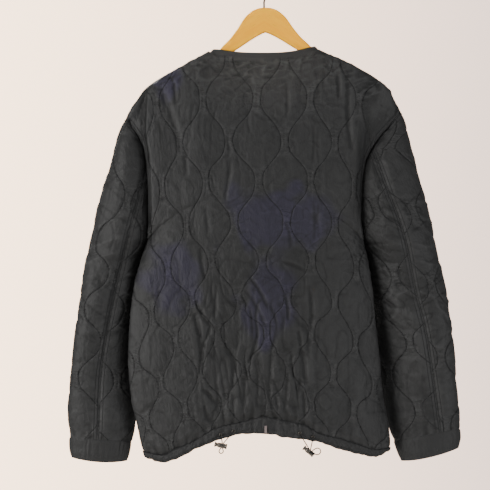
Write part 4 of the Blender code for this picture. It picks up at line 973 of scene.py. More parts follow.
def body_surface(face, x_start, x_end):
    """The back (face 1) or a front (face -1): depth grows below the ridge, sides close oval."""
    form = FACES[face]

    def surface(s, row):
        s, row = np.broadcast_arrays(np.asarray(s, float), np.asarray(row, float))

        def x_at(level):
            return blend(body_edge(x_start, level)[0], body_edge(x_end, level)[0], s)

        x = x_at(row)
        low, top = x_at(np.zeros_like(row)), x_at(np.ones_like(row))
        z = blend(hem_seam_z(low), top_edge_z(top, face), row)
        right, z_right = body_edge("right", row)
        left, z_left = body_edge("left", row)
        round_out = np.clip(np.abs(2 * (x - right) / (left - right) - 1), 0, 1)
        fullness = (1 - round_out ** form["power"]) ** form["root"]
        drop = np.maximum(ridge_z(x) - z, 0)
        over = RIDGE_ROUND * np.sqrt(1 - (1 - np.minimum(drop / RIDGE_ROUND, 1)) ** 2)
        below = look_up(DEPTH, form["depth"], z) - RIDGE_ROUND
        depth = over + below * (1 - np.exp(-drop / FALL_LENGTH))
        seam_left = side_y("left", z_left) + face * armhole_y("left", z_left)
        seam_right = side_y("right", z_right) + face * armhole_y("right", z_right)
        seam = np.where(x > 0, seam_left, seam_right)
        y = face * depth * fullness + seam * (1 - fullness) + face * SEAM_GAP / 2
        if face < 0 and x_end != "left":
            y = y + LAP_DEPTH * rises(x, LAP_FROM, LAP_RAMP)
        return np.stack([x, y, z], axis=-1)

    return surface


def run_from(x_from, x, run):
    """Distance along each row of a grid from where it crosses a place across the body."""
    return run - value_in_row(run, (x_from - x[:, :1]) / (x[:, -1:] - x[:, :1]))


def back_pattern(points, run):
    """Pattern of the back: drawn together and aside towards the hem, puffs a little short."""
    x, z = points[..., 0], points[..., 2]
    sink = np.clip((PINCH_Z - HALF_PERIOD - z) / DRIFT_LENGTH, 0, 1.2)
    across = (run_from(0, x, run) + BACK_DRIFT * sink) / (1 - BACK_GATHER * sink) - BACK_LINE_X
    off_centre = np.maximum(np.abs(x) - SAG_START, 0) / SAG_WIDTH
    sag = QUILT_SAG * off_centre**2 * (0.4 + 0.6 * falls(z, PINCH_Z, DRIFT_LENGTH))
    loose = bell(x, 0.09) * falls(z, LOOSE_TOP, 0.12)
    aside = layers("line_aside", x, z, 2) * (0.0009 + 0.0040 * loose)
    level = layers("line_level", x, z, 4) * (0.0024 + 0.0080 * loose)
    pinch = look_up(QUILT_ROWS, "pinch", z + sag + level)
    return across + aside, PINCH_Z - pinch * HALF_PERIOD


def front_pattern(middle_x):
    """Pattern of a front, counted from a line near its middle."""

    def pattern(points, run):
        x, z = points[..., 0], points[..., 2]
        sink = np.clip((PINCH_Z - z) / DRIFT_LENGTH, 0, 1.2)
        across = run_from(middle_x, x, run) / (1 - FRONT_GATHER * sink)
        aside = layers("line_aside", x, z, 7) * 0.0009
        return across + aside, z + layers("line_level", x, z, 8) * 0.0022

    return pattern


def gather_wave(x, run):
    """Uneven wave of the gathered hem, and how deep it is at a place: most at the centre."""
    uneven = 1.2 * np.sin(run * GATHER_DRIFT)
    wave = np.sin(2 * math.pi * run / GATHER_LENGTH + uneven)
    return wave, 0.35 + 0.65 * bell(x, GATHER_WIDTH)


def hem_gathers(x, run, above):
    """Waves of the gathered hem, and the loose pleats that run up from them at the centre."""
    wave, middle = gather_wave(x, run)
    short = wave * middle * HEM_WAVE * np.exp(-above / HEM_WAVE_REACH)
    small = layers("hem_small", run, above) * np.exp(-above / HEM_SMALL_REACH)
    lean = run + above * layers("hem_lean", run, above)
    side = within(x, -0.115, 0.150, 0.04)
    reach = side * smooth_step(above / 0.010) * falls(above, PLEAT_LENGTH, 0.20)
    return short + small + layers("pleat", lean, above) * reach


def fold_drop(side, x, z):
    """How far the shoulder's cloth lies below the straight hang of the back, outside its fold."""
    out = SLEEVES[side]["sign"] * x - look_up(FOLD, side, z)
    reach = rises(z, FOLD_END, 0.10) * falls(z, FOLD_TOP[side], 0.09)
    return FOLD_DEPTH * smooth_step(out / FOLD_SLOPE[side]) * reach, out, reach


def side_folds(x, z):
    """Deep folds where the shoulders fall away, with a raised lip along the left one."""
    height = np.zeros_like(x)
    for side in SLEEVES:
        drop, out, reach = fold_drop(side, x, z)
        crevice = FOLD_CREVICE[side] * bell(out - 0.003, 0.0032) * reach
        lip = FOLD_LIP[side] * bell(out + 0.005, 0.005) * reach
        height += lip - drop - crevice
    return height


def fold_shade(x, z):
    """Share of the light that the deep folds keep out, as contact shade in the cloth's colour."""
    loose = within(x, -0.110, 0.150, 0.05)
    shade = LOOSE_SHADE * loose * falls(z, -0.46, 0.10)
    for side in SLEEVES:
        _, out, reach = fold_drop(side, x, z)
        above = falls(z, FOLD_TOP[side] - 0.02, 0.09)
        inner = bell(np.minimum(out - 0.002, 0), SHADE_EDGE[side])
        outer = bell(np.maximum(out - 0.002, 0), SHADE_WIDTH[side])
        shade = np.maximum(shade, inner * outer * reach * above)
    return shade


def sleeve_shade(side, x, z):
    """The same beside the body, down to where the sleeve hangs clear."""
    off = SLEEVES[side]["sign"] * x - side_x(side, z)
    along = falls(z, -0.285, 0.06) * rises(z, -0.80, 0.12)
    return bell(np.maximum(off, 0), 1.6 * SHADE_WIDTH[side]) * along


def body_panel(name, face, x_start, x_end, pattern, plain, seed, creases, material):
    """One panel of the body: its surface, raised by quilting, creases, gathers and puckers."""
    surface = body_surface(face, x_start, x_end)
    rows, cols = even_grid(BODY_LENGTH), even_grid(FACES[face]["across"])
    base = surface(np.linspace(0, 1, cols)[None, :], crowded(rows, *TOP_CROWDING)[:, None])
    normals = grid_normals(base, -face)
    x, z = base[..., 0], base[..., 2]
    run, fall = row_runs(base)
    across, height = pattern(base, run)
    strip = strip_number(across, height)
    width = strip_width(strip, height)
    above, below = fall, fall[-1:] - fall
    to_plain = np.minimum(run - plain[0], run[:, -1:] - run - plain[1])
    ends = np.minimum(to_plain, np.minimum(above, below))
    to_side = run if x_start == "right" else np.full_like(run, FAR)
    if x_end == "left":
        to_side = np.minimum(to_side, run[:, -1:] - run)

    puffed = quilting(strip, width, ends)
    fade = smooth_step(ends / WRINKLE_RAMP)
    near_top = bell(below, NECK_REACH)
    small = wrinkles(across, z, strip, width * (1 - NECK_NARROWING * near_top), seed)
    raised = puffed + small * fade * (1 + NECK_GAIN * near_top)
    crimp = layers("crimp", across + z, z + CRIMP_SLANT * across, seed)
    raised += crimp * near_top * smooth_step(layers("crimp_patch", x, z, seed) + 0.6) * fade
    raised += crease_lines(x, z, creases) * fade
    raised += hem_gathers(x, run, above)
    if face > 0:
        raised += side_folds(x, z) * smooth_step(below / 0.03)
    raised += seam_puckers(z, to_side, seed + 20) * smooth_step(to_side / 0.002)
    raised += seam_roll(to_side, blend(SIDE_ROLL, ARMHOLE_ROLL, rises(z, ARMPIT_Z, ROLL_CHANGE)))
    raised += seam_roll(above, HEM_ROLL)
    from_tip = np.hypot(below, to_side)
    raised = raised * smooth_step(from_tip / CORNER_FLAT) - CORNER_DIP * bell(from_tip, CORNER_WIDTH)

    outer = base + normals * raised[..., None]
    inner = keep_to_face(base[THINNED] - normals[THINNED] * WALL, face)
    shaded = fold_shade(x, z) * (face > 0)
    channels = cloth_channels(strip, width, height, to_plain, to_side, raised - puffed, shaded)
    channels["blue"] = blue_patches(x, z) * (face > 0)
    return wall_piece(name, outer, inner, material, np.stack([across, z], axis=-1), channels)


def blue_patches(x, z):
    """Soft patches where the back's nylon has a bluish cast."""
    share = np.zeros_like(x)
    for middle_x, middle_z, wide, high in zip(*BLUE.values()):
        away = np.hypot((x - middle_x) / wide, (z - middle_z) / high)
        share = np.maximum(share, smooth_step((1.3 - away + layers("blue_edge", x, z)) / 0.5))
    return share


def keep_to_face(points, face):
    """Keeps the inside on its own side of the shoulder and side seams and the armhole."""
    x, y, z = points[..., 0], points[..., 1], points[..., 2]
    x = np.clip(x, -side_x("right", z), side_x("left", z))
    seam = np.where(x > 0, side_y("left", z), side_y("right", z))
    y = seam + face * np.maximum(face * (y - seam), SEAM_GAP / 2)
    return np.stack([x, y, z], axis=-1)


# ---------------------------------------------------------------- sleeves


def sleeve_point(side, turn, level):
    """Points round a sleeve: open onto the armhole above, closing as an oval below."""
    sleeve = SLEEVES[side]
    reach = (1 + np.cos(turn)) / 2
    lower = falls(level, sleeve["cuff"] + SLANT_LENGTH, SLANT_LENGTH)
    z = level + sleeve["slant"] * (reach - 0.5) * lower
    inner = np.where(z > ARMPIT_Z, side_x(side, z) + ARMHOLE_GAP, look_up(SLEEVE_IN, side, z))
    outer = np.maximum(look_up(SLEEVE_OUT, side, z), inner + ARMHOLE_GAP)
    inner_y = np.where(z > ARMPIT_Z, 0, look_up(SLEEVE_IN, side + "_y", z))
    middle = blend(inner_y, look_up(SLEEVE_OUT, "y", z), reach)
    half = look_up(SLEEVE_DEPTH, "half", z)
    opening = np.minimum(armhole_y(side, z) / half, 1)
    valley = opening + (1 - opening) * (1 - (1 - reach) ** VALLEY_POWER)
    open_shape = np.sqrt(1 - reach**OPEN_OVAL) * valley
    closed_shape = np.abs(np.sin(turn)) ** CLOSED_OVAL
    shape = blend(open_shape, closed_shape, falls(z, ARMPIT_Z, CLOSE_LENGTH))
    face = np.where(np.sin(turn) >= 0, 1, -1)
    y = middle + face * (half * shape + SEAM_GAP)
    return np.stack([sleeve["sign"] * blend(inner, outer, reach), y, z], axis=-1)


def seam_turn(side, level):
    """Where the back seam runs round the sleeve; at the armhole it meets the sleeve's edge."""
    inner = np.where(level > ARMPIT_Z, side_x(side, level), look_up(SLEEVE_IN, side, level))
    outer = look_up(SLEEVE_OUT, side, level)
    seam = look_up(SLEEVE_SEAM, side, level)
    reach = np.clip((seam - inner) / np.maximum(outer - inner, 0.001), 0, 1)
    return np.arccos(2 * reach - 1)


def under_turn(level):
    """The underarm seam leaves the armpit and moves a little to the front."""
    return math.pi + (UNDER_SEAM - math.pi) * falls(level, ARMPIT_Z, CLOSE_LENGTH)


def sleeve_half(side, upper, s, level):
    """The upper sleeve from the back seam over the outside, or the under sleeve behind it."""
    seam, under = seam_turn(side, level), under_turn(level)
    if upper:
        start, end = np.minimum(seam, math.pi) - SEAM_TURN, under - 2 * math.pi + SEAM_TURN
    else:
        start = np.minimum(seam, math.pi - 3 * SEAM_TURN) + SEAM_TURN
        end = under - SEAM_TURN
    return sleeve_point(side, blend(start, end, s), level)


def sleeve_piece(name, side, upper, seed, material):
    """Half a sleeve: quilting, level creases round the elbow and tucks along the back seam."""
    sleeve = SLEEVES[side]
    top, bottom = sleeve["top"], sleeve["cuff"] + 0.0004
    if not upper:
        levels = np.linspace(sleeve["cuff"], sleeve["top"], 400)
        top = levels[seam_turn(side, levels) < math.pi - 0.02][-1]
    rows, cols = even_grid(top - bottom), even_grid(UPPER_ROUND if upper else UNDER_ROUND)
    levels = blend(bottom, top, crowded(rows, *(SLEEVE_CROWDING if upper else (1, 0))))[:, None]
    base = sleeve_half(side, upper, np.linspace(0, 1, cols)[None, :], levels)
    normals = grid_normals(base, -sleeve["sign"] if upper else sleeve["sign"])
    x, z = base[..., 0], base[..., 2]
    run, fall = row_runs(base)
    part = side + ("_upper" if upper else "_under")
    line = np.minimum(look_up(SLEEVE_LINE, part, z), run[:, -1:] / 2)
    across = run - line + layers("line_aside", run, z, seed + 50) * 0.0009
    level = layers("line_level", run, z, seed + 51) * 0.0025
    pinch = curve_value(SLEEVE_ROWS[part], SLEEVE_ROWS["pinch"], z + level)
    height = PINCH_Z - pinch * HALF_PERIOD
    strip = strip_number(across, height)
    width = strip_width(strip, height)
    from_end = run[:, -1:] - run
    above, below = fall, fall[-1:] - fall
    to_seam = np.minimum(run, from_end)
    ends = np.minimum(to_seam, np.minimum(above, below))

    puffed = quilting(strip, width, np.minimum(ends, above / 2.5))
    fade = smooth_step(ends / SLEEVE_WRINKLE_RAMP)
    raised = puffed + wrinkles(across, z, strip, width, seed) * fade * SLEEVE_WRINKLE_SHARE
    raised += elbow_creases(across, z, seed + 30) * fade
    raised += seam_puckers(z, run, seed + 20) * smooth_step(run / 0.002) * 1.2
    drawn = layers("cuff_draw", across, above, seed + 40) * np.exp(-above / 0.016)
    raised += drawn * smooth_step(above / 0.004 + 0.3)
    depth = blend(SLEEVE_ROLL, SLEEVE_TOP_ROLL, rises(z, ARMPIT_Z, ROLL_CHANGE))
    raised += seam_roll(run, depth) + seam_roll(from_end, depth)
    if upper:
        raised *= rises(below, -0.004, 0.040)

    outer = under_body(side, base + normals * raised[..., None])
    inner = under_body(side, base[THINNED] - normals[THINNED] * WALL)
    shaded = sleeve_shade(side, x, z)
    channels = cloth_channels(strip, width, height, to_seam, run, raised - puffed, shaded)
    return wall_piece(name, outer, inner, material, np.stack([across, z], axis=-1), channels)


def under_body(side, points):
    """Sinks a sleeve's cloth beside the armhole, and tucks its edge under the body's."""
    sign = SLEEVES[side]["sign"]
    x, y, z = points[..., 0], points[..., 1], points[..., 2]
    edge = side_x(side, z)
    off = sign * x - edge
    drop = fold_drop(side, sign * edge, z)[0]
    from_top = (SLEEVES[side]["top"] - z) * 1.1
    sink = np.where(y > 0, drop, 0) * bell(off, ARMHOLE_SINK_WIDTH) * smooth_step(from_top / 0.03)
    outer = look_up(SLEEVE_OUT, side, z)
    inside = 1 - smooth_step(off / np.maximum(outer - edge, 0.0005))
    near = rises(z, ARMPIT_Z - 0.01, 0.03) * inside
    below = falls(z, ARMPIT_Z + 0.02, 0.03) * rises(z, ARMPIT_Z - 0.10, 0.05)
    tip = 1 - smooth_step(from_top / TIP_LENGTH)
    tuck = ARMHOLE_TUCK * bell(off, ARMHOLE_TUCK_WIDTH) * near
    tuck += ARMPIT_TUCK * bell(off, ARMPIT_TUCK_WIDTH) * below
    sunk = np.where(y > 0, np.maximum(y - sink, np.minimum(y, 0.002)), y)
    y = sunk - ARMPIT_SINK * below * bell(off, ARMPIT_SINK_WIDTH)
    return np.stack([x - sign * (tuck + TIP_IN * tip), y, z - TIP_DOWN * tip], axis=-1)


def elbow_creases(across, z, seed):
    """Slanted folds, most of them round the elbow and the armpit."""
    slant = z + ELBOW_SLANT * across
    near = 0.35 + bell(z - ELBOW_Z, ELBOW_WIDTH)
    near += UPPER_ARM_SHARE * bell(z - UPPER_ARM_Z, UPPER_ARM_WIDTH)
    small = layers("elbow_small", across, slant - across, seed)
    return (layers("elbow", across, slant, seed) + small) * near


# ---------------------------------------------------------------- bands


def oval(width, thick, count, power):
    """Flattened oval section: across and out distances of its points."""
    cos, sin = np.cos(full_turn(count)), np.sin(full_turn(count))
    across = np.sign(cos) * np.abs(cos) ** power * width / 2
    out = np.sign(sin) * np.abs(sin) ** power * thick / 2
    return across, out


def band(name, edge, outward, inward, material, seed):
    """Bias tape folded over an edge: a flat oval along it, with a sewn line and small tucks."""
    run = path_lengths(edge)
    even = np.linspace(0, run[-1], max(int(run[-1] / BINDING_STEP), 4))
    path = along_path(even, run, edge)
    out = unit(along_path(even, run, outward))
    across = along_path(even, run, inward)
    across = unit(across - out * (across * out).sum(axis=1, keepdims=True))
    middle = path + across * (BINDING_WIDTH / 2 - BINDING_LAP) - out * WALL / 2
    a, o = oval(BINDING_WIDTH, BINDING_THICK, 20, 0.7)
    tuck = layers("tape_tuck", even[:, None], a[None, :], seed)
    sewn = -0.0005 * bell(a + BINDING_WIDTH * 0.30, 0.0009) * np.sign(o)
    o = o + (tuck + sewn) * (np.abs(o) > 0.0005)
    sections = middle[:, None] + across[:, None] * a[:, None] + out[:, None] * o[..., None]
    return tube_piece(name, sections, material), path_lengths(middle)[-1]


def smooth_path(values, passes):
    """Evens out a path's points in place."""
    for _ in range(passes):
        values[1:-1] = (values[:-2] + 2 * values[1:-1] + values[2:]) / 4
    return values


def panel_normal(surface, s, row, face):
    """Outward direction of a body panel at places along one row."""
    step = 1e-3
    s0, s1 = np.clip(s - step, 0, 1), np.clip(s + step, 0, 1)
    r0, r1 = max(row - 2 * step, 0), min(row + 2 * step, 1)
    along = surface(s1, row) - surface(s0, row)
    up = surface(s, r1) - surface(s, r0)
    return -face * unit(np.cross(along, up))


def neck_band(material):
    """From the left front's corner, over the back of the neck, to the right front's."""
    left, right = (float(body_edge(side, np.array(1.0))[0]) for side in SLEEVES)
    parts = (
        (-1, (-LAP, "left"), (-LAP, left), (-LAP, NECK_HALF)),
        (1, ("right", "left"), (right, left), (NECK_HALF, -NECK_HALF)),
        (-1, ("right", LAP), (right, LAP), (-NECK_HALF, LAP)),
    )
    edges, outs = [], []
    for face, names, (first, last), reach in parts:
        surface = body_surface(face, *names)
        s = np.linspace(*((x - first) / (last - first) for x in reach), 160)
        edges.append(surface(s, 1.0))
        outs.append(panel_normal(surface, s, 1.0, face))
    edge, outward = np.concatenate(edges), np.concatenate(outs)
    keep = np.concatenate([[True], np.linalg.norm(np.diff(edge, axis=0), axis=1) > 1e-5])
    run = path_lengths(edge[keep])
    even = np.linspace(0, run[-1], 260)
    edge, outward = along_path(even, run, edge[keep]), along_path(even, run, outward[keep])
    edge, outward = smooth_path(edge, 8), unit(smooth_path(outward, 20))
    inward = unit(smooth_path(np.cross(outward, np.gradient(edge, axis=0)), 10))
    return band("neck_tape", edge, outward, inward, material, 3)


def front_band(name, x_start, x_end, s, direction, material, seed):
    """Down a front edge, from under the neck binding past the hem casing."""
    rows = np.linspace(BINDING_START, 0, 120)
    edge = body_surface(-1, x_start, x_end)(np.full_like(rows, s), rows)
    edge = np.vstack([edge, edge[-1] - (0, 0, CASING_HEIGHT_FRONT)])
    outward = np.tile((0.0, -1.0, 0.0), (len(edge), 1))
    inward = np.tile((float(direction), 0.0, 0.0), (len(edge), 1))
    return band(name, edge, outward, inward, material, seed)


def cuff_piece(name, side, material, seed):
    """Gathered cuff: a doubled band, its outside in fine uneven tucks."""
    count, levels = 320, 15
    turns = full_turn(count)
    share = np.concatenate([[CUFF_HIDDEN], np.linspace(0, 1, levels)])
    ring = sleeve_point(side, turns[None, :], SLEEVES[side]["cuff"] - CUFF_HEIGHT * share[:, None])
    middle = ring.mean(axis=1, keepdims=True)
    outward = unit((ring - middle) * (1, 1, 0))
    ring[..., 2] -= CUFF_SAG * np.clip(share, 0, 1)[:, None] * np.sin(turns) ** 2
    round_it = turns[None, :] * CUFF_RADIUS
    down = share[:, None] * CUFF_HEIGHT
    tuck = np.sin(turns * 27 + 1.6 * np.sin(turns * 5) + 1.1 * np.sin(turns * 11))[None, :]
    tuck = tuck * (0.55 + layers("cuff_uneven", round_it, down, seed))
    hold = 0.25 + 0.75 * np.sin(math.pi * np.clip(share, 0, 1)) ** 0.7
    swell = CUFF_SWELL[0] + CUFF_SWELL[1] * np.sin(math.pi * share)
    raised = swell[:, None] + tuck * CUFF_TUCK * hold[:, None]
    raised = raised + layers("cuff_crumple", round_it, down, seed)
    raised -= CUFF_GROOVE * bell(down - CUFF_HEIGHT + CUFF_STITCH, CUFF_GROOVE_WIDTH)
    raised[:2] = (-0.0010,), (-0.0002,)
    out = ring + outward * raised[..., None]
    inside = ring[::-4] + outward[::-4] * (raised[::-4] * 0.5 - CUFF_THICK)[..., None]
    sections = np.concatenate([out, inside])
    quads = grid_quads(len(sections), count, True, True)
    along, around = np.broadcast_arrays(np.concatenate([down, down[::-4]]), round_it)
    uv = np.stack([around, along], axis=-1).reshape(-1, 2)
    channels = {"edge": np.minimum(along, CUFF_HEIGHT - along)}
    return make_mesh(name, sections.reshape(-1, 3), quads, [], material, uv, channels)


def casing_piece(name, face, x_start, x_end, material, seed):
    """Hem casing: a doubled band gathered on its cord, sewn along its top."""
    count = 360 if face > 0 else 200
    top = body_surface(face, x_start, x_end)(np.linspace(0, 1, count), 0.0)
    outward = unit(np.gradient(top, axis=0)[:, [1, 0, 2]] * (1, -1, 0)) * -face
    x = top[:, 0]
    run = path_lengths(top)
    still = np.zeros_like(run)
    lower = look_up(HEM, "lower", x)
    height = top[:, 2] - SEAM_GAP - lower + layers("casing_edge", run, still, seed)
    wave, middle = gather_wave(x, run)
    gather = CASING_GATHER * middle * (0.35 * wave + layers("casing_gather", run, still + 3, seed))
    draw_in = 1 - 0.02 * rises(np.abs(x), 0.17, 0.05)
    rings = []
    for share, out, loose in CASING_PROFILE:
        push = out + (gather + layers("casing_small", run, still + share, seed) * middle) * loose
        ring = top + outward * push[:, None]
        ring[:, 2] = top[:, 2] - SEAM_GAP - height * share
        ring[:, 0] *= blend(1, draw_in, max(share, 0))
        rings.append(keep_to_face(ring, face))
    sections = np.stack(rings, axis=1)
    uneven = layers("casing_drop", run, still + 9, seed)
    sections[..., 2] += uneven[:, None] * np.linspace(0, 1, len(CASING_PROFILE))
    shares = np.array([row[0] for row in CASING_PROFILE])
    along, down = np.broadcast_arrays(run[:, None], shares * height[:, None])
    return skin(name, sections, material, np.stack([along, down], axis=-1).reshape(-1, 2), {"edge": down})


# ---------------------------------------------------------------- hardware


def turned(name, profile, origin, axis, material):
    """A solid turned about an axis from an outer profile of radius and height."""
    axis = unit(np.asarray(axis, float))
    side = unit(np.cross(axis, (0.3, 0.2, 1.0)))
    other = np.cross(axis, side)
    angle = full_turn(40)
    around = np.cos(angle)[:, None] * side + np.sin(angle)[:, None] * other
    radius, height = np.array(profile).T
    sections = radius[:, None, None] * around[None] + height[:, None, None] * axis + np.asarray(origin)
    return skin(name, sections, material)


def rounded(profile):
    """Rounds each corner of a profile with a short arc-like blend of its neighbours."""
    points = [np.array(profile[0])]
    for before, corner, after in zip(profile, profile[1:-1], profile[2:]):
        before, corner, after = map(np.array, (before, corner, after))
        start, end = (
            corner + unit(other - corner) * min(CORNER_RADIUS, np.linalg.norm(other - corner) / 2)
            for other in (before, after)
        )
        for t in np.linspace(0, 1, CORNER_STEPS + 1):
            points.append((1 - t) ** 2 * start + 2 * t * (1 - t) * corner + t * t * end)
    points.append(np.array(profile[-1]))
    return points


def hem_back_y(x):
    """How far back the casing's outer face stands at a place across the hem."""
    points = body_surface(1, "right", "left")(np.linspace(0, 1, 400), 0.0)
    return float(np.interp(x, points[:, 0], points[:, 1])) + CASING_STAND


def hem_z(x, share):
    seam, lower = (float(look_up(HEM, column, np.array(x))) for column in ("seam", "lower"))
    return blend(seam, lower, share)


def eyelet_places(side):
    return [np.array([x, hem_back_y(x), hem_z(x, EYELET_SHARE)]) for x in LOCKS[side]["eyelets"]]


def eyelet(name, spot, material):
    """Rolled metal ring: a circle carried round a circle."""
    big, small = full_turn(36)[:, None], full_turn(12)[None, :]
    wire, half_deep = EYELET_WIRE
    ring = EYELET_RING + wire * np.cos(small)
    x, z = ring * np.cos(big), ring * np.sin(big)
    y = half_deep * np.sin(small) + 0 * x
    points = (np.stack([x, y, z], axis=-1) + spot).reshape(-1, 3)
    return make_mesh(name, points, grid_quads(36, 12, True, True), [], material)


def lock_frame(side):
    """A lock's middle, the direction of its barrel, and the way its cord runs through it."""
    lock = LOCKS[side]
    lean = math.radians(lock["lean"])
    axis = np.array([-math.cos(lean), 0, -math.sin(lean)])
    upright = np.array([-math.sin(lean), 0, math.cos(lean)])
    through = np.array([0.0, 1.0, 0.0]) if side == "right" else upright
    return np.array([lock["x"], hem_back_y(lock["x"]) + LOCK_STAND, lock["z"]]), axis, through


def lock_pieces(side, material):
    """Barrel with a collar, waist and flange, and its push button with a domed head."""
    middle, axis, _ = lock_frame(side)
    barrel, button = ([point * LOCK_SCALE for point in rounded(part)] for part in (BARREL, BUTTON))
    end = middle - axis * LOCK_HALF * LOCK_SCALE[1]
    body = turned(f"cord_lock_{side}", barrel, middle, axis, material)
    return body, turned(f"cord_lock_button_{side}", button, end, axis, material)


def smooth_route(points, count):
    """Even points on a smooth curve through a route's own points."""
    points = np.array(points, dtype=float)
    ends = np.vstack([2 * points[0] - points[1], points, 2 * points[-1] - points[-2]])
    t = np.linspace(0, 1, 24, endpoint=False)[:, None]
    dense = []
    for p0, p1, p2, p3 in zip(ends[:-3], ends[1:-2], ends[2:-1], ends[3:]):
        line = 2 * p1 + (p2 - p0) * t + (2 * p0 - 5 * p1 + 4 * p2 - p3) * t**2
        dense.append((line + (3 * p1 - p0 - 3 * p2 + p3) * t**3) / 2)
    dense = np.vstack([*dense, points[-1:]])
    run = path_lengths(dense)
    return along_path(np.linspace(0, run[-1], count), run, dense)


def cord_route(side):
    """Out of one eyelet, down through the lock, round a loop and back to the other."""
    first, last = eyelet_places(side)
    middle, axis, through = lock_frame(side)
    off = np.array([0, 0.0016, 0])
    drop = (0, 0.0006, -0.0012)
    beside = axis * 0.00125
    if np.dot(first - last, axis) < 0:
        beside = -beside
    enter = through * (BARREL_RADIUS + 0.0016)
    leg_in = [first + off * 0.3, first + off * 1.4 + drop]
    leg_out = [last + off * 1.4 + drop, last + off * 0.3]
    if side == "left":
        down = -through
        loop_long, loop_wide = 0.0110, 0.0094
        loop_middle = middle + down * (BARREL_RADIUS + loop_long * 0.55)
        wide = unit(beside) * loop_wide / 2
        loop = [
            middle + beside - enter,
            loop_middle + wide,
            loop_middle + down * loop_long * 0.5,
            loop_middle - wide,
            middle - beside - enter,
        ]
        return [*leg_in, middle + beside + enter, *loop, middle - beside + enter, *leg_out]
    behind, before = middle - enter, middle + enter
    rise = (0, 0, 0.0042)
    loop_middle = middle + (-0.0135, BARREL_RADIUS + 0.0020, 0.0135 * 0.15)
    loop = [before + beside, *(loop_middle + (x, 0, z) for x, z in LOOP_BENDS), before - beside]
    drop_in, drop_out = behind + beside + rise, behind - beside + rise
    return [*leg_in, drop_in, behind + beside, *loop, behind - beside, drop_out, *leg_out]


def draw_cord(side, material):
    """A cord along its route, as a round curve."""
    route = smooth_route(cord_route(side), 26)
    curve = bpy.data.curves.new(f"draw_cord_{side}", "CURVE")
    curve.dimensions = "3D"
    curve.bevel_depth = CORD_DIAMETER / 2
    curve.bevel_resolution = 4
    curve.resolution_u = 6
    curve.use_fill_caps = True
    spline = curve.splines.new("NURBS")
    spline.points.add(len(route) - 1)
    spline.points.foreach_set("co", np.column_stack([route, np.ones(len(route))]).ravel())
    spline.order_u = 3
    spline.use_endpoint_u = True
    curve.materials.append(material)
    return link(bpy.data.objects.new(f"draw_cord_{side}", curve)), route


def round_wire(name, path, radius, material):
    """Round wire along a path in the plane of X and Z."""
    along = unit(np.gradient(path, axis=0))
    side = np.tile((0.0, 1.0, 0.0), (len(path), 1))
    other = unit(np.cross(along, side))
    angle = full_turn(20)[None, :, None]
    ring = np.cos(angle) * side[:, None] + np.sin(angle) * other[:, None]
    return tube_piece(name, path[:, None] + ring * radius, material)


# ---------------------------------------------------------------- hanger


def wood_piece(material):
    """Flat arms in one piece: a rounded section carried along, its underside chamfered."""
    x = np.linspace(-WOOD_HALF, WOOD_HALF, 181)
    top = look_up(WOOD_TOP, "z", np.abs(x))
    low = look_up(WOOD_LOW, "z", np.abs(x))
    end = np.sqrt(1 - np.clip((np.abs(x) - 0.204) / WOOD_TIP, 0, 1) ** 2)
    middle = (top + low) / 2
    top, low = blend(middle, top, end), blend(middle, low, end)
    a, o = oval(1.0, WOOD_THICK, 40, 0.38)
    half_high = (top - low) / 2
    reach = np.sign(a) * (1 - (1 - np.abs(a) * 2) * 0.010 / np.maximum(half_high[:, None], 0.010))
    high = middle[:, None] + half_high[:, None] * np.where(np.abs(a) < 1e-9, 0, reach)
    wide = np.broadcast_to(o, high.shape)
    cos, sin = math.cos(WOOD_TILT), math.sin(WOOD_TILT)
    across = x[:, None] + 0 * high
    sections = np.stack([across * cos + high * sin, wide, high * cos - across * sin], axis=-1)
    return tube_piece("beech_arms", sections, material)


def hook_path():
    """Most of a circle over the rail, then an S-bend into the shank."""
    radius = HOOK_INSIDE + WIRE_RADIUS
    angles = np.radians(np.linspace(-28, 222, 60))
    arc = [(radius * math.cos(a), 0, radius * math.sin(a) - HOOK_INSIDE) for a in angles]
    bend = [(-0.0080, 0, -0.0405), (-0.0022, 0, -0.0462), (0, 0, -0.0520)]
    return smooth_route([*arc, *bend, (0, 0, -0.0570), (0, 0, -0.0640)], 140)


# ---------------------------------------------------------------- finishes

NYLON = (0.0212, 0.0212, 0.0214)
BAND_NYLON = (0.0220, 0.0220, 0.0222)
CASING_NYLON = (0.0205, 0.0204, 0.0208)
BIAS_TAPE = (0.0085, 0.0085, 0.0096)
HEM_TAPE = (0.230, 0.180, 0.175)
GUNMETAL, GUNMETAL_ROUGH = (0.20, 0.180, 0.158), 0.14
NICKEL, NICKEL_ROUGH = (0.050, 0.048, 0.046), 0.34
BLUE_CAST = (0.98, 0.87, 1.52)         # the cast's share of each channel
# Dark thread colour, also laid as painted shade over the whole sunk groove of a stitch line.
THREAD_AND_GROOVE_SHADE = (0.003, 0.003, 0.0035, 1)
ELASTIC_DARK, ELASTIC_LIGHT = (0.006, 0.006, 0.006, 1), (0.022, 0.021, 0.020, 1)
BEECH_LIGHT, BEECH_DARK = (1.0, 0.480, 0.004, 1), (0.970, 0.410, 0.002, 1)
# The last of these is painted shade for faces turned downward, not a colour of the wood.
BEECH_FLECK, BEECH_UNDER_SHADE = (0.800, 0.340, 0.010, 1), (0.420, 0.130, 0.010, 1)
FLOOR_LOW, FLOOR_HIGH = (0.74, 0.71, 0.67, 1), (0.80, 0.77, 0.73, 1)
WEAVE_PITCH = 0.0007
RIB_TURNS = 5200.0       # the tape's diagonal rib, in radians for a metre
STITCH_RATE = 360.0      # stitches for a metre
STITCH_HALF = (0.0004, 0.0016)         # a stitch line's groove is full, then gone, this far out
TWIN_MIDDLE, TWIN_APART = 0.0046, 0.0028   # the two lines beside a sleeve's back seam
TWIN_HALF = (0.0002, 0.0010)
# painted shade, with a slight sinking, over the strip between a sleeve's twin lines
BETWEEN_HALF, BETWEEN_SHARE = (0.0020, 0.0032), 0.06


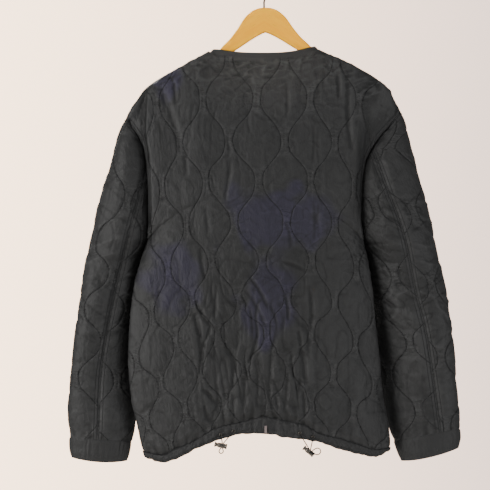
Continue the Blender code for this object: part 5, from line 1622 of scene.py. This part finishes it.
class Nodes:
    """Builds a material's nodes with few words."""

    def __init__(self, name):
        self.material = bpy.data.materials.new(name)
        self.material.use_nodes = True
        self.tree = self.material.node_tree
        self.shader = self.tree.nodes["Principled BSDF"]

    def add(self, kind, **settings):
        node = self.tree.nodes.new("ShaderNode" + kind)
        for key, value in settings.items():
            setattr(node, key, value)
        return node

    def wire(self, value, socket):
        if isinstance(value, bpy.types.NodeSocket):
            self.tree.links.new(value, socket)
        else:
            socket.default_value = value

    def maths(self, operation, *values):
        node = self.add("Math", operation=operation)
        for value, socket in zip(values, node.inputs):
            self.wire(value, socket)
        return node.outputs[0]

    def plus(self, value, other):
        return self.maths("ADD", value, other)

    def times(self, value, other):
        return self.maths("MULTIPLY", value, other)

    def rest(self, value):
        """What is left to 1."""
        return self.maths("SUBTRACT", 1.0, value)

    def distance(self, value, other):
        return self.maths("ABSOLUTE", self.maths("SUBTRACT", value, other))

    def ramp(self, value, low, high):
        """0 below low and 1 above high, eased between."""
        node = self.add("MapRange", interpolation_type="SMOOTHSTEP")
        self.wire(value, node.inputs["Value"])
        node.inputs["From Min"].default_value = low
        node.inputs["From Max"].default_value = high
        return node.outputs["Result"]

    def near(self, value, low, high):
        """1 below low and 0 above high, eased between."""
        return self.rest(self.ramp(value, low, high))

    def attribute(self, name):
        return self.add("Attribute", attribute_name=name).outputs["Fac"]

    def parts(self, vector):
        node = self.add("SeparateXYZ")
        self.wire(vector, node.inputs[0])
        return node.outputs

    def noise(self, scale, detail, rough=0.5, vector=None, stretch=None, kind="FBM"):
        source = vector or self.add("TexCoord").outputs["Object"]
        if stretch:
            mapping = self.add("Mapping")
            self.wire(source, mapping.inputs["Vector"])
            mapping.inputs["Scale"].default_value = stretch
            source = mapping.outputs["Vector"]
        node = self.add("TexNoise", noise_type=kind)
        self.wire(source, node.inputs["Vector"])
        node.inputs["Scale"].default_value = scale
        node.inputs["Detail"].default_value = detail
        node.inputs["Roughness"].default_value = rough
        return node.outputs["Fac"]

    def mix(self, share, low, high):
        node = self.add("Mix", data_type="RGBA")
        self.wire(share, node.inputs["Factor"])
        self.wire(low, node.inputs["A"])
        self.wire(high, node.inputs["B"])
        return node.outputs["Result"]

    def tones(self, share, colour, low, high):
        """A colour between two shares of its strength."""
        return self.mix(share, (*[c * low for c in colour], 1), (*[c * high for c in colour], 1))

    def scaled(self, shade, share):
        node = self.add("VectorMath", operation="SCALE")
        self.wire(shade, node.inputs[0])
        self.wire(share, node.inputs["Scale"])
        return node.outputs[0]

    def bump(self, height, strength, distance, normal=None):
        node = self.add("Bump")
        self.wire(height, node.inputs["Height"])
        node.inputs["Strength"].default_value = strength
        node.inputs["Distance"].default_value = distance
        if normal:
            self.wire(normal, node.inputs["Normal"])
        return node.outputs["Normal"]

    def finish(self, colour, roughness, metallic=0.0, normal=None, **constants):
        self.wire(colour, self.shader.inputs["Base Color"])
        self.wire(roughness, self.shader.inputs["Roughness"])
        self.shader.inputs["Metallic"].default_value = metallic
        if normal:
            self.wire(normal, self.shader.inputs["Normal"])
        for label, value in constants.items():
            label = label.replace("_", " ").title().replace("Ior", "IOR")
            self.shader.inputs[label].default_value = value
        return self.material


def quilted_finish(nodes, uv, shade, normal):
    """Puckers and creases beside the stitch lines, painted sheen where the lines come close, and the
    lines themselves with their thread and painted shade in their grooves.
    """
    width = nodes.attribute("strip_width")
    from_line = nodes.times(nodes.maths("PINGPONG", nodes.attribute("strip"), 0.5), width)
    close = nodes.near(width, 0.016, 0.040)
    level = nodes.noise(1.0, 3, 0.55, vector=uv, stretch=(85, 300, 1))
    normal = nodes.bump(nodes.times(level, close), 0.9, 0.0034, normal)
    # Painted sheen: where the lines come close, the colour is made lighter.
    shade = nodes.scaled(shade, nodes.plus(1.0, nodes.times(close, 0.30)))
    tugs = nodes.noise(1.0, 2, 0.5, vector=uv, stretch=(70, 190, 1))
    normal = nodes.bump(nodes.times(tugs, nodes.near(from_line, 0.001, 0.012)), 0.8, 0.0030, normal)
    upright = nodes.noise(1.0, 3, 0.5, vector=uv, stretch=(90, 20, 1))
    normal = nodes.bump(nodes.times(upright, nodes.ramp(width, 0.03, 0.06)), 0.4, 0.0030, normal)

    groove = nodes.times(nodes.near(from_line, *STITCH_HALF), nodes.attribute("sewn"))
    from_twin = nodes.distance(nodes.attribute("edge"), TWIN_MIDDLE)
    seam = nodes.near(nodes.distance(from_twin, TWIN_APART), *TWIN_HALF)
    # Painted shade over the strip between the twin lines; it also sinks that strip a little.
    between = nodes.times(nodes.near(from_twin, *BETWEEN_HALF), BETWEEN_SHARE)
    groove = nodes.maths("MAXIMUM", groove, nodes.maths("MAXIMUM", seam, between))
    stitch = nodes.maths("PINGPONG", nodes.times(nodes.attribute("down"), STITCH_RATE), 0.5)
    thread = nodes.times(groove, nodes.ramp(stitch, 0.06, 0.20))
    # The groove is coloured dark: the thread itself, and painted shade in the sunk line and between a
    # sleeve's twin lines.
    shade = nodes.mix(nodes.times(groove, 0.92), shade, THREAD_AND_GROOVE_SHADE)
    sunk = nodes.maths("SUBTRACT", nodes.times(thread, 0.35), groove)
    return shade, nodes.bump(sunk, 0.9, 0.0007, normal)


def nylon_material(name, colour, quilted, crush=1.0):
    """Thin calendered nylon: fine weave, crisp small creases, sunken stitch lines."""
    nodes = Nodes(name)
    uv = nodes.add("UVMap", uv_map="cloth").outputs["UV"]
    across, up = nodes.parts(uv)[:2]
    turns = 2 * math.pi / WEAVE_PITCH
    warp, weft = (nodes.maths("SINE", nodes.times(way, turns)) for way in (across, up))
    crumple = nodes.noise(34, 4, 0.55, vector=uv, kind="RIDGED_MULTIFRACTAL")
    crisp = nodes.noise(95, 5, 0.62, vector=uv, stretch=(1.3, 0.8, 1))
    fine = nodes.noise(300, 3, 0.6)
    slow = nodes.noise(9, 2)

    shade = nodes.tones(nodes.ramp(slow, 0.35, 0.7), colour, 0.90, 1.12)
    cast = (*[c * share for c, share in zip(colour, BLUE_CAST)], 1)
    shade = nodes.mix(nodes.attribute("blue"), shade, cast)
    # Painted shade in creases and painted highlight on folds: the colour follows the relief attribute,
    # capped on the light side. lit takes off the painted contact shade of the deep folds.
    crease_shade_ridge_light = nodes.maths("MINIMUM", nodes.ramp(nodes.attribute("relief"), -1.0, 1.0), 0.86)
    lit = nodes.rest(nodes.times(nodes.attribute("shaded"), 0.85))
    shade = nodes.scaled(shade, nodes.times(nodes.plus(nodes.times(crease_shade_ridge_light, 1.20), 0.40), lit))

    normal = nodes.bump(nodes.times(warp, weft), 0.10, 0.0002)
    normal = nodes.bump(crumple, 0.50, 0.0024 * crush, normal)
    normal = nodes.bump(crisp, 0.65, 0.0026 * crush, normal)
    normal = nodes.bump(fine, 0.25, 0.0005, normal)
    if quilted:
        shade, normal = quilted_finish(nodes, uv, shade, normal)
    rough = nodes.plus(nodes.times(slow, 0.10), 0.53)
    return nodes.finish(shade, rough, 0.0, normal, specular_ior_level=0.40)


def tape_material(name, colour):
    """Bias tape: diagonal rib and small wear."""
    nodes = Nodes(name)
    across, up = nodes.parts(nodes.add("UVMap", uv_map="cloth").outputs["UV"])[:2]
    rib = nodes.maths("SINE", nodes.times(nodes.plus(across, up), RIB_TURNS))
    slow = nodes.noise(60, 3)
    shade = nodes.tones(slow, colour, 0.75, 1.3)
    normal = nodes.bump(slow, 0.3, 0.0008, nodes.bump(rib, 0.25, 0.0003))
    return nodes.finish(shade, 0.62, 0.0, normal, sheen_weight=0.1)


def metal_material(name, colour, roughness):
    """Plated metal with faint smudges and hairlines."""
    nodes = Nodes(name)
    smudge = nodes.noise(160, 4, 0.6)
    shade = nodes.tones(smudge, colour, 0.8, 1.0)
    rough = nodes.plus(nodes.times(smudge, 0.16), roughness - 0.08)
    normal = nodes.bump(nodes.noise(900, 2), 0.04, 0.0002)
    return nodes.finish(shade, rough, 1.0, normal)


def cord_material(name):
    """Round elastic cord: braid running round it."""
    nodes = Nodes(name)
    fine = nodes.noise(1500, 2, 0.6, stretch=(1, 1, 0.6))
    shade = nodes.mix(fine, ELASTIC_DARK, ELASTIC_LIGHT)
    return nodes.finish(shade, 0.9, 0.0, nodes.bump(fine, 0.5, 0.0004), specular_ior_level=0.2)


def beech_material(name):
    """Lacquered beech: grain streaks along each arm, short flecks, and painted shade on faces turned
    downward.
    """
    nodes = Nodes(name)
    x, y, z = nodes.parts(nodes.add("TexCoord").outputs["Object"])
    fold = nodes.maths("ABSOLUTE", x)
    join = nodes.add("CombineXYZ")
    nodes.wire(nodes.times(fold, 0.10), join.inputs[0])
    nodes.wire(y, join.inputs[1])
    nodes.wire(nodes.plus(z, nodes.times(fold, 0.60)), join.inputs[2])
    streak = nodes.noise(140, 4, 0.55, vector=join.outputs[0])
    fleck = nodes.noise(700, 2, vector=join.outputs[0])
    shade = nodes.mix(nodes.ramp(streak, 0.32, 0.70), BEECH_LIGHT, BEECH_DARK)
    shade = nodes.mix(nodes.ramp(fleck, 0.60, 0.75), shade, BEECH_FLECK)
    # Painted shade: faces turned downward are coloured darker.
    upward = nodes.parts(nodes.add("NewGeometry").outputs["Normal"])[2]
    shade = nodes.mix(nodes.ramp(nodes.times(upward, -1.0), 0.25, 0.75), shade, BEECH_UNDER_SHADE)
    normal = nodes.bump(streak, 0.08, 0.0005)
    return nodes.finish(
        shade, 0.50, 0.0, normal, specular_ior_level=0.15, coat_weight=0.05, coat_roughness=0.25
    )


def floor_material():
    nodes = Nodes("pale_floor")
    return nodes.finish(nodes.mix(nodes.noise(2.5, 2), FLOOR_LOW, FLOOR_HIGH), 0.8)


# ---------------------------------------------------------------- stage


def make_camera():
    data = bpy.data.cameras.new("camera")
    data.sensor_width = SENSOR
    data.lens = SENSOR * VIEW_DISTANCE / VIEW_WIDTH
    data.dof.use_dof = False
    camera = link(bpy.data.objects.new("camera", data))
    camera.location = (VIEW_X, VIEW_DISTANCE, VIEW_Z)
    camera.rotation_euler = (math.pi / 2, 0, math.pi)
    bpy.context.scene.camera = camera


def make_lamp(name, kind, place, target, power, colour):
    """A lamp aimed at a target; returns its data for the rest of its settings."""
    data = bpy.data.lights.new(name, kind)
    data.energy = power
    data.color = colour
    lamp = link(bpy.data.objects.new(name, data))
    lamp.location = place
    aim = Vector(target) - Vector(place)
    lamp.rotation_euler = aim.to_track_quat("-Z", "Y").to_euler()
    return data


def make_lights():
    """Four soft lights round the jacket and a small one on the hanger."""
    for name, (place, size, power, colour) in AREA_LIGHTS.items():
        data = make_lamp(name, "AREA", place, JACKET_MIDDLE, power, colour)
        data.shape = "RECTANGLE"
        data.size, data.size_y = size
    data = make_lamp("on_hanger", "SPOT", SPOT_PLACE, SPOT_TARGET, SPOT_POWER, SPOT_COLOUR)
    data.spot_size = SPOT_ANGLE
    data.spot_blend = SPOT_BLEND
    data.shadow_soft_size = SPOT_SOFTNESS


def make_wall():
    """The world: a wall that is seen brighter than the light it gives, paler to the left."""
    world = bpy.data.worlds.new("studio")
    bpy.context.scene.world = world
    world.use_nodes = True
    nodes, links = world.node_tree.nodes, world.node_tree.links
    light = nodes["Background"]
    light.inputs["Color"].default_value = WORLD_COLOUR
    light.inputs["Strength"].default_value = WORLD_LIGHT
    seen = nodes.new("ShaderNodeBackground")
    seen.inputs["Strength"].default_value = WORLD_SEEN
    wall = nodes.new("ShaderNodeMix")
    wall.data_type = "RGBA"
    wall.inputs["A"].default_value = WALL_LEFT
    wall.inputs["B"].default_value = WALL_RIGHT
    across = nodes.new("ShaderNodeMapRange")
    across.inputs["From Min"].default_value = WALL_SPREAD
    across.inputs["From Max"].default_value = -WALL_SPREAD
    place = nodes.new("ShaderNodeTexCoord")
    part = nodes.new("ShaderNodeSeparateXYZ")
    path = nodes.new("ShaderNodeLightPath")
    mix = nodes.new("ShaderNodeMixShader")
    links.new(place.outputs["Generated"], part.inputs[0])
    links.new(part.outputs[0], across.inputs["Value"])
    links.new(across.outputs["Result"], wall.inputs["Factor"])
    links.new(wall.outputs["Result"], seen.inputs["Color"])
    links.new(path.outputs["Is Camera Ray"], mix.inputs[0])
    links.new(light.outputs[0], mix.inputs[1])
    links.new(seen.outputs[0], mix.inputs[2])
    links.new(mix.outputs[0], nodes["World Output"].inputs["Surface"])


def make_floor():
    """A pale round floor far below the hem, which sends some light up."""
    angle = full_turn(64)
    rim = [(FLOOR_RADIUS * math.cos(a), FLOOR_RADIUS * math.sin(a), FLOOR_Z) for a in angle]
    mesh = bpy.data.meshes.new("floor")
    mesh.from_pydata(rim, [], [range(len(rim))])
    mesh.materials.append(floor_material())
    floor = link(bpy.data.objects.new("floor", mesh))
    floor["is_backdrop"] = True


# ---------------------------------------------------------------- assembly


def show(piece, node):
    """Puts a piece on the jacket in place of its solid."""
    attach(piece, "root")
    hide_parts(node)


def add_cords():
    elastic = cord_material("elastic_cord")
    for side in LOCKS:
        cord, route = draw_cord(side, elastic)
        show(cord, f"cord_{side}")
        length = float(path_lengths(route)[-1])
        tuple(float(v) for v in route[0])


def add_body(fronts):
    nylon = nylon_material("quilted_nylon", NYLON, True)
    piece = body_panel("back", 1, "right", "left", back_pattern, (0, 0), 11, BACK_CREASES, nylon)
    show(piece, "back_panel")
    for side, seed in (("left", 31), ("right", 51)):
        plain_ends = (PLACKET, 0) if side == "left" else (0, PLACKET)
        pattern = front_pattern(FRONT_LINE_X if side == "left" else -FRONT_LINE_X)
        piece = body_panel(f"front_{side}", -1, *fronts[side], pattern, plain_ends, seed, {}, nylon)
        show(piece, f"front_panel_{side}")
    return nylon


def add_sleeves(nylon):
    plain = nylon_material("band_nylon", BAND_NYLON, False, 1.5)
    for side, seed in (("left", 71), ("right", 91)):
        piece = sleeve_piece(f"upper_{side}", side, True, seed, nylon)
        show(piece, f"upper_sleeve_{side}")
        piece = sleeve_piece(f"under_{side}", side, False, seed + 5, nylon)
        show(piece, f"under_sleeve_{side}")
        piece = cuff_piece(f"gathered_cuff_{side}", side, plain, seed + 7)
        show(piece, f"cuff_{side}")


def add_hem(fronts):
    """The hem casing, in one band for the back and one for each front."""
    crushed = nylon_material("casing_nylon", CASING_NYLON, False, 2.4)
    piece = casing_piece("casing_back", 1, "right", "left", crushed, 5)
    show(piece, "hem_casing_back")
    for side in SLEEVES:
        piece = casing_piece(f"casing_{side}", -1, *fronts[side], crushed, 6)
        show(piece, f"hem_casing_{side}")


def add_bindings(fronts):
    tape = tape_material("bias_tape", BIAS_TAPE)
    piece, length = neck_band(tape)
    show(piece, "neck_binding")
    for side, s, way in (("left", 0.0, -1), ("right", 1.0, 1)):
        piece, length = front_band(f"edge_tape_{side}", *fronts[side], s, way, tape, 8)
        show(piece, f"front_binding_{side}")


def add_snaps(gunmetal):
    """Caps down the middle of the left front's lap, each square to the cloth there."""
    profile = rounded(SNAP)
    surface = body_surface(-1, -LAP, "left")
    rows = np.linspace(0, 1, 300)
    s = LAP / (body_edge("left", rows)[0] + LAP)
    points = surface(s, rows)
    for index, z in enumerate(np.linspace(SNAP_TOP_Z, SNAP_LOW_Z, SNAP_COUNT)):
        best = int(np.argmin(np.abs(points[:, 2] - z)))
        outward = panel_normal(surface, s[best : best + 1], rows[best], -1)[0]
        spot = points[best] + outward * SNAP_STAND
        piece = turned(f"snap_cap_{index + 1}", profile, spot, outward, gunmetal)
        show(piece, f"snap_{index + 1}")


def add_locks(gunmetal):
    for side in LOCKS:
        for spot, label in zip(eyelet_places(side), ("inner", "outer")):
            show(eyelet(f"ring_{side}_{label}", spot, gunmetal), f"eyelet_{side}_{label}")
        body, head = lock_pieces(side, gunmetal)
        show(body, f"lock_{side}")
        show(head, f"lock_button_{side}")


def main():
    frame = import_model()
    cad_box = [list(corner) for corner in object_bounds()]
    make_camera()
    make_wall()
    make_floor()
    make_lights()
    fronts = {"left": (-LAP, "left"), "right": ("right", LAP)}
    add_cords()
    add_sleeves(add_body(fronts))
    add_hem(fronts)
    add_bindings(fronts)
    gunmetal = metal_material("gunmetal", GUNMETAL, GUNMETAL_ROUGH)
    add_snaps(gunmetal)
    add_locks(gunmetal)
    nickel = metal_material("nickel_wire", NICKEL, NICKEL_ROUGH)
    show(wood_piece(beech_material("lacquered_beech")), "hanger_wood")
    show(round_wire("wire_hook", hook_path(), WIRE_RADIUS, nickel), "hanger_hook")
    hem_tape = tape_material("hem_tape", HEM_TAPE)
    for slot in frame["nodes"]["hem_tab"].material_slots:
        slot.material = hem_tape
    return cad_box


cad_box = main()
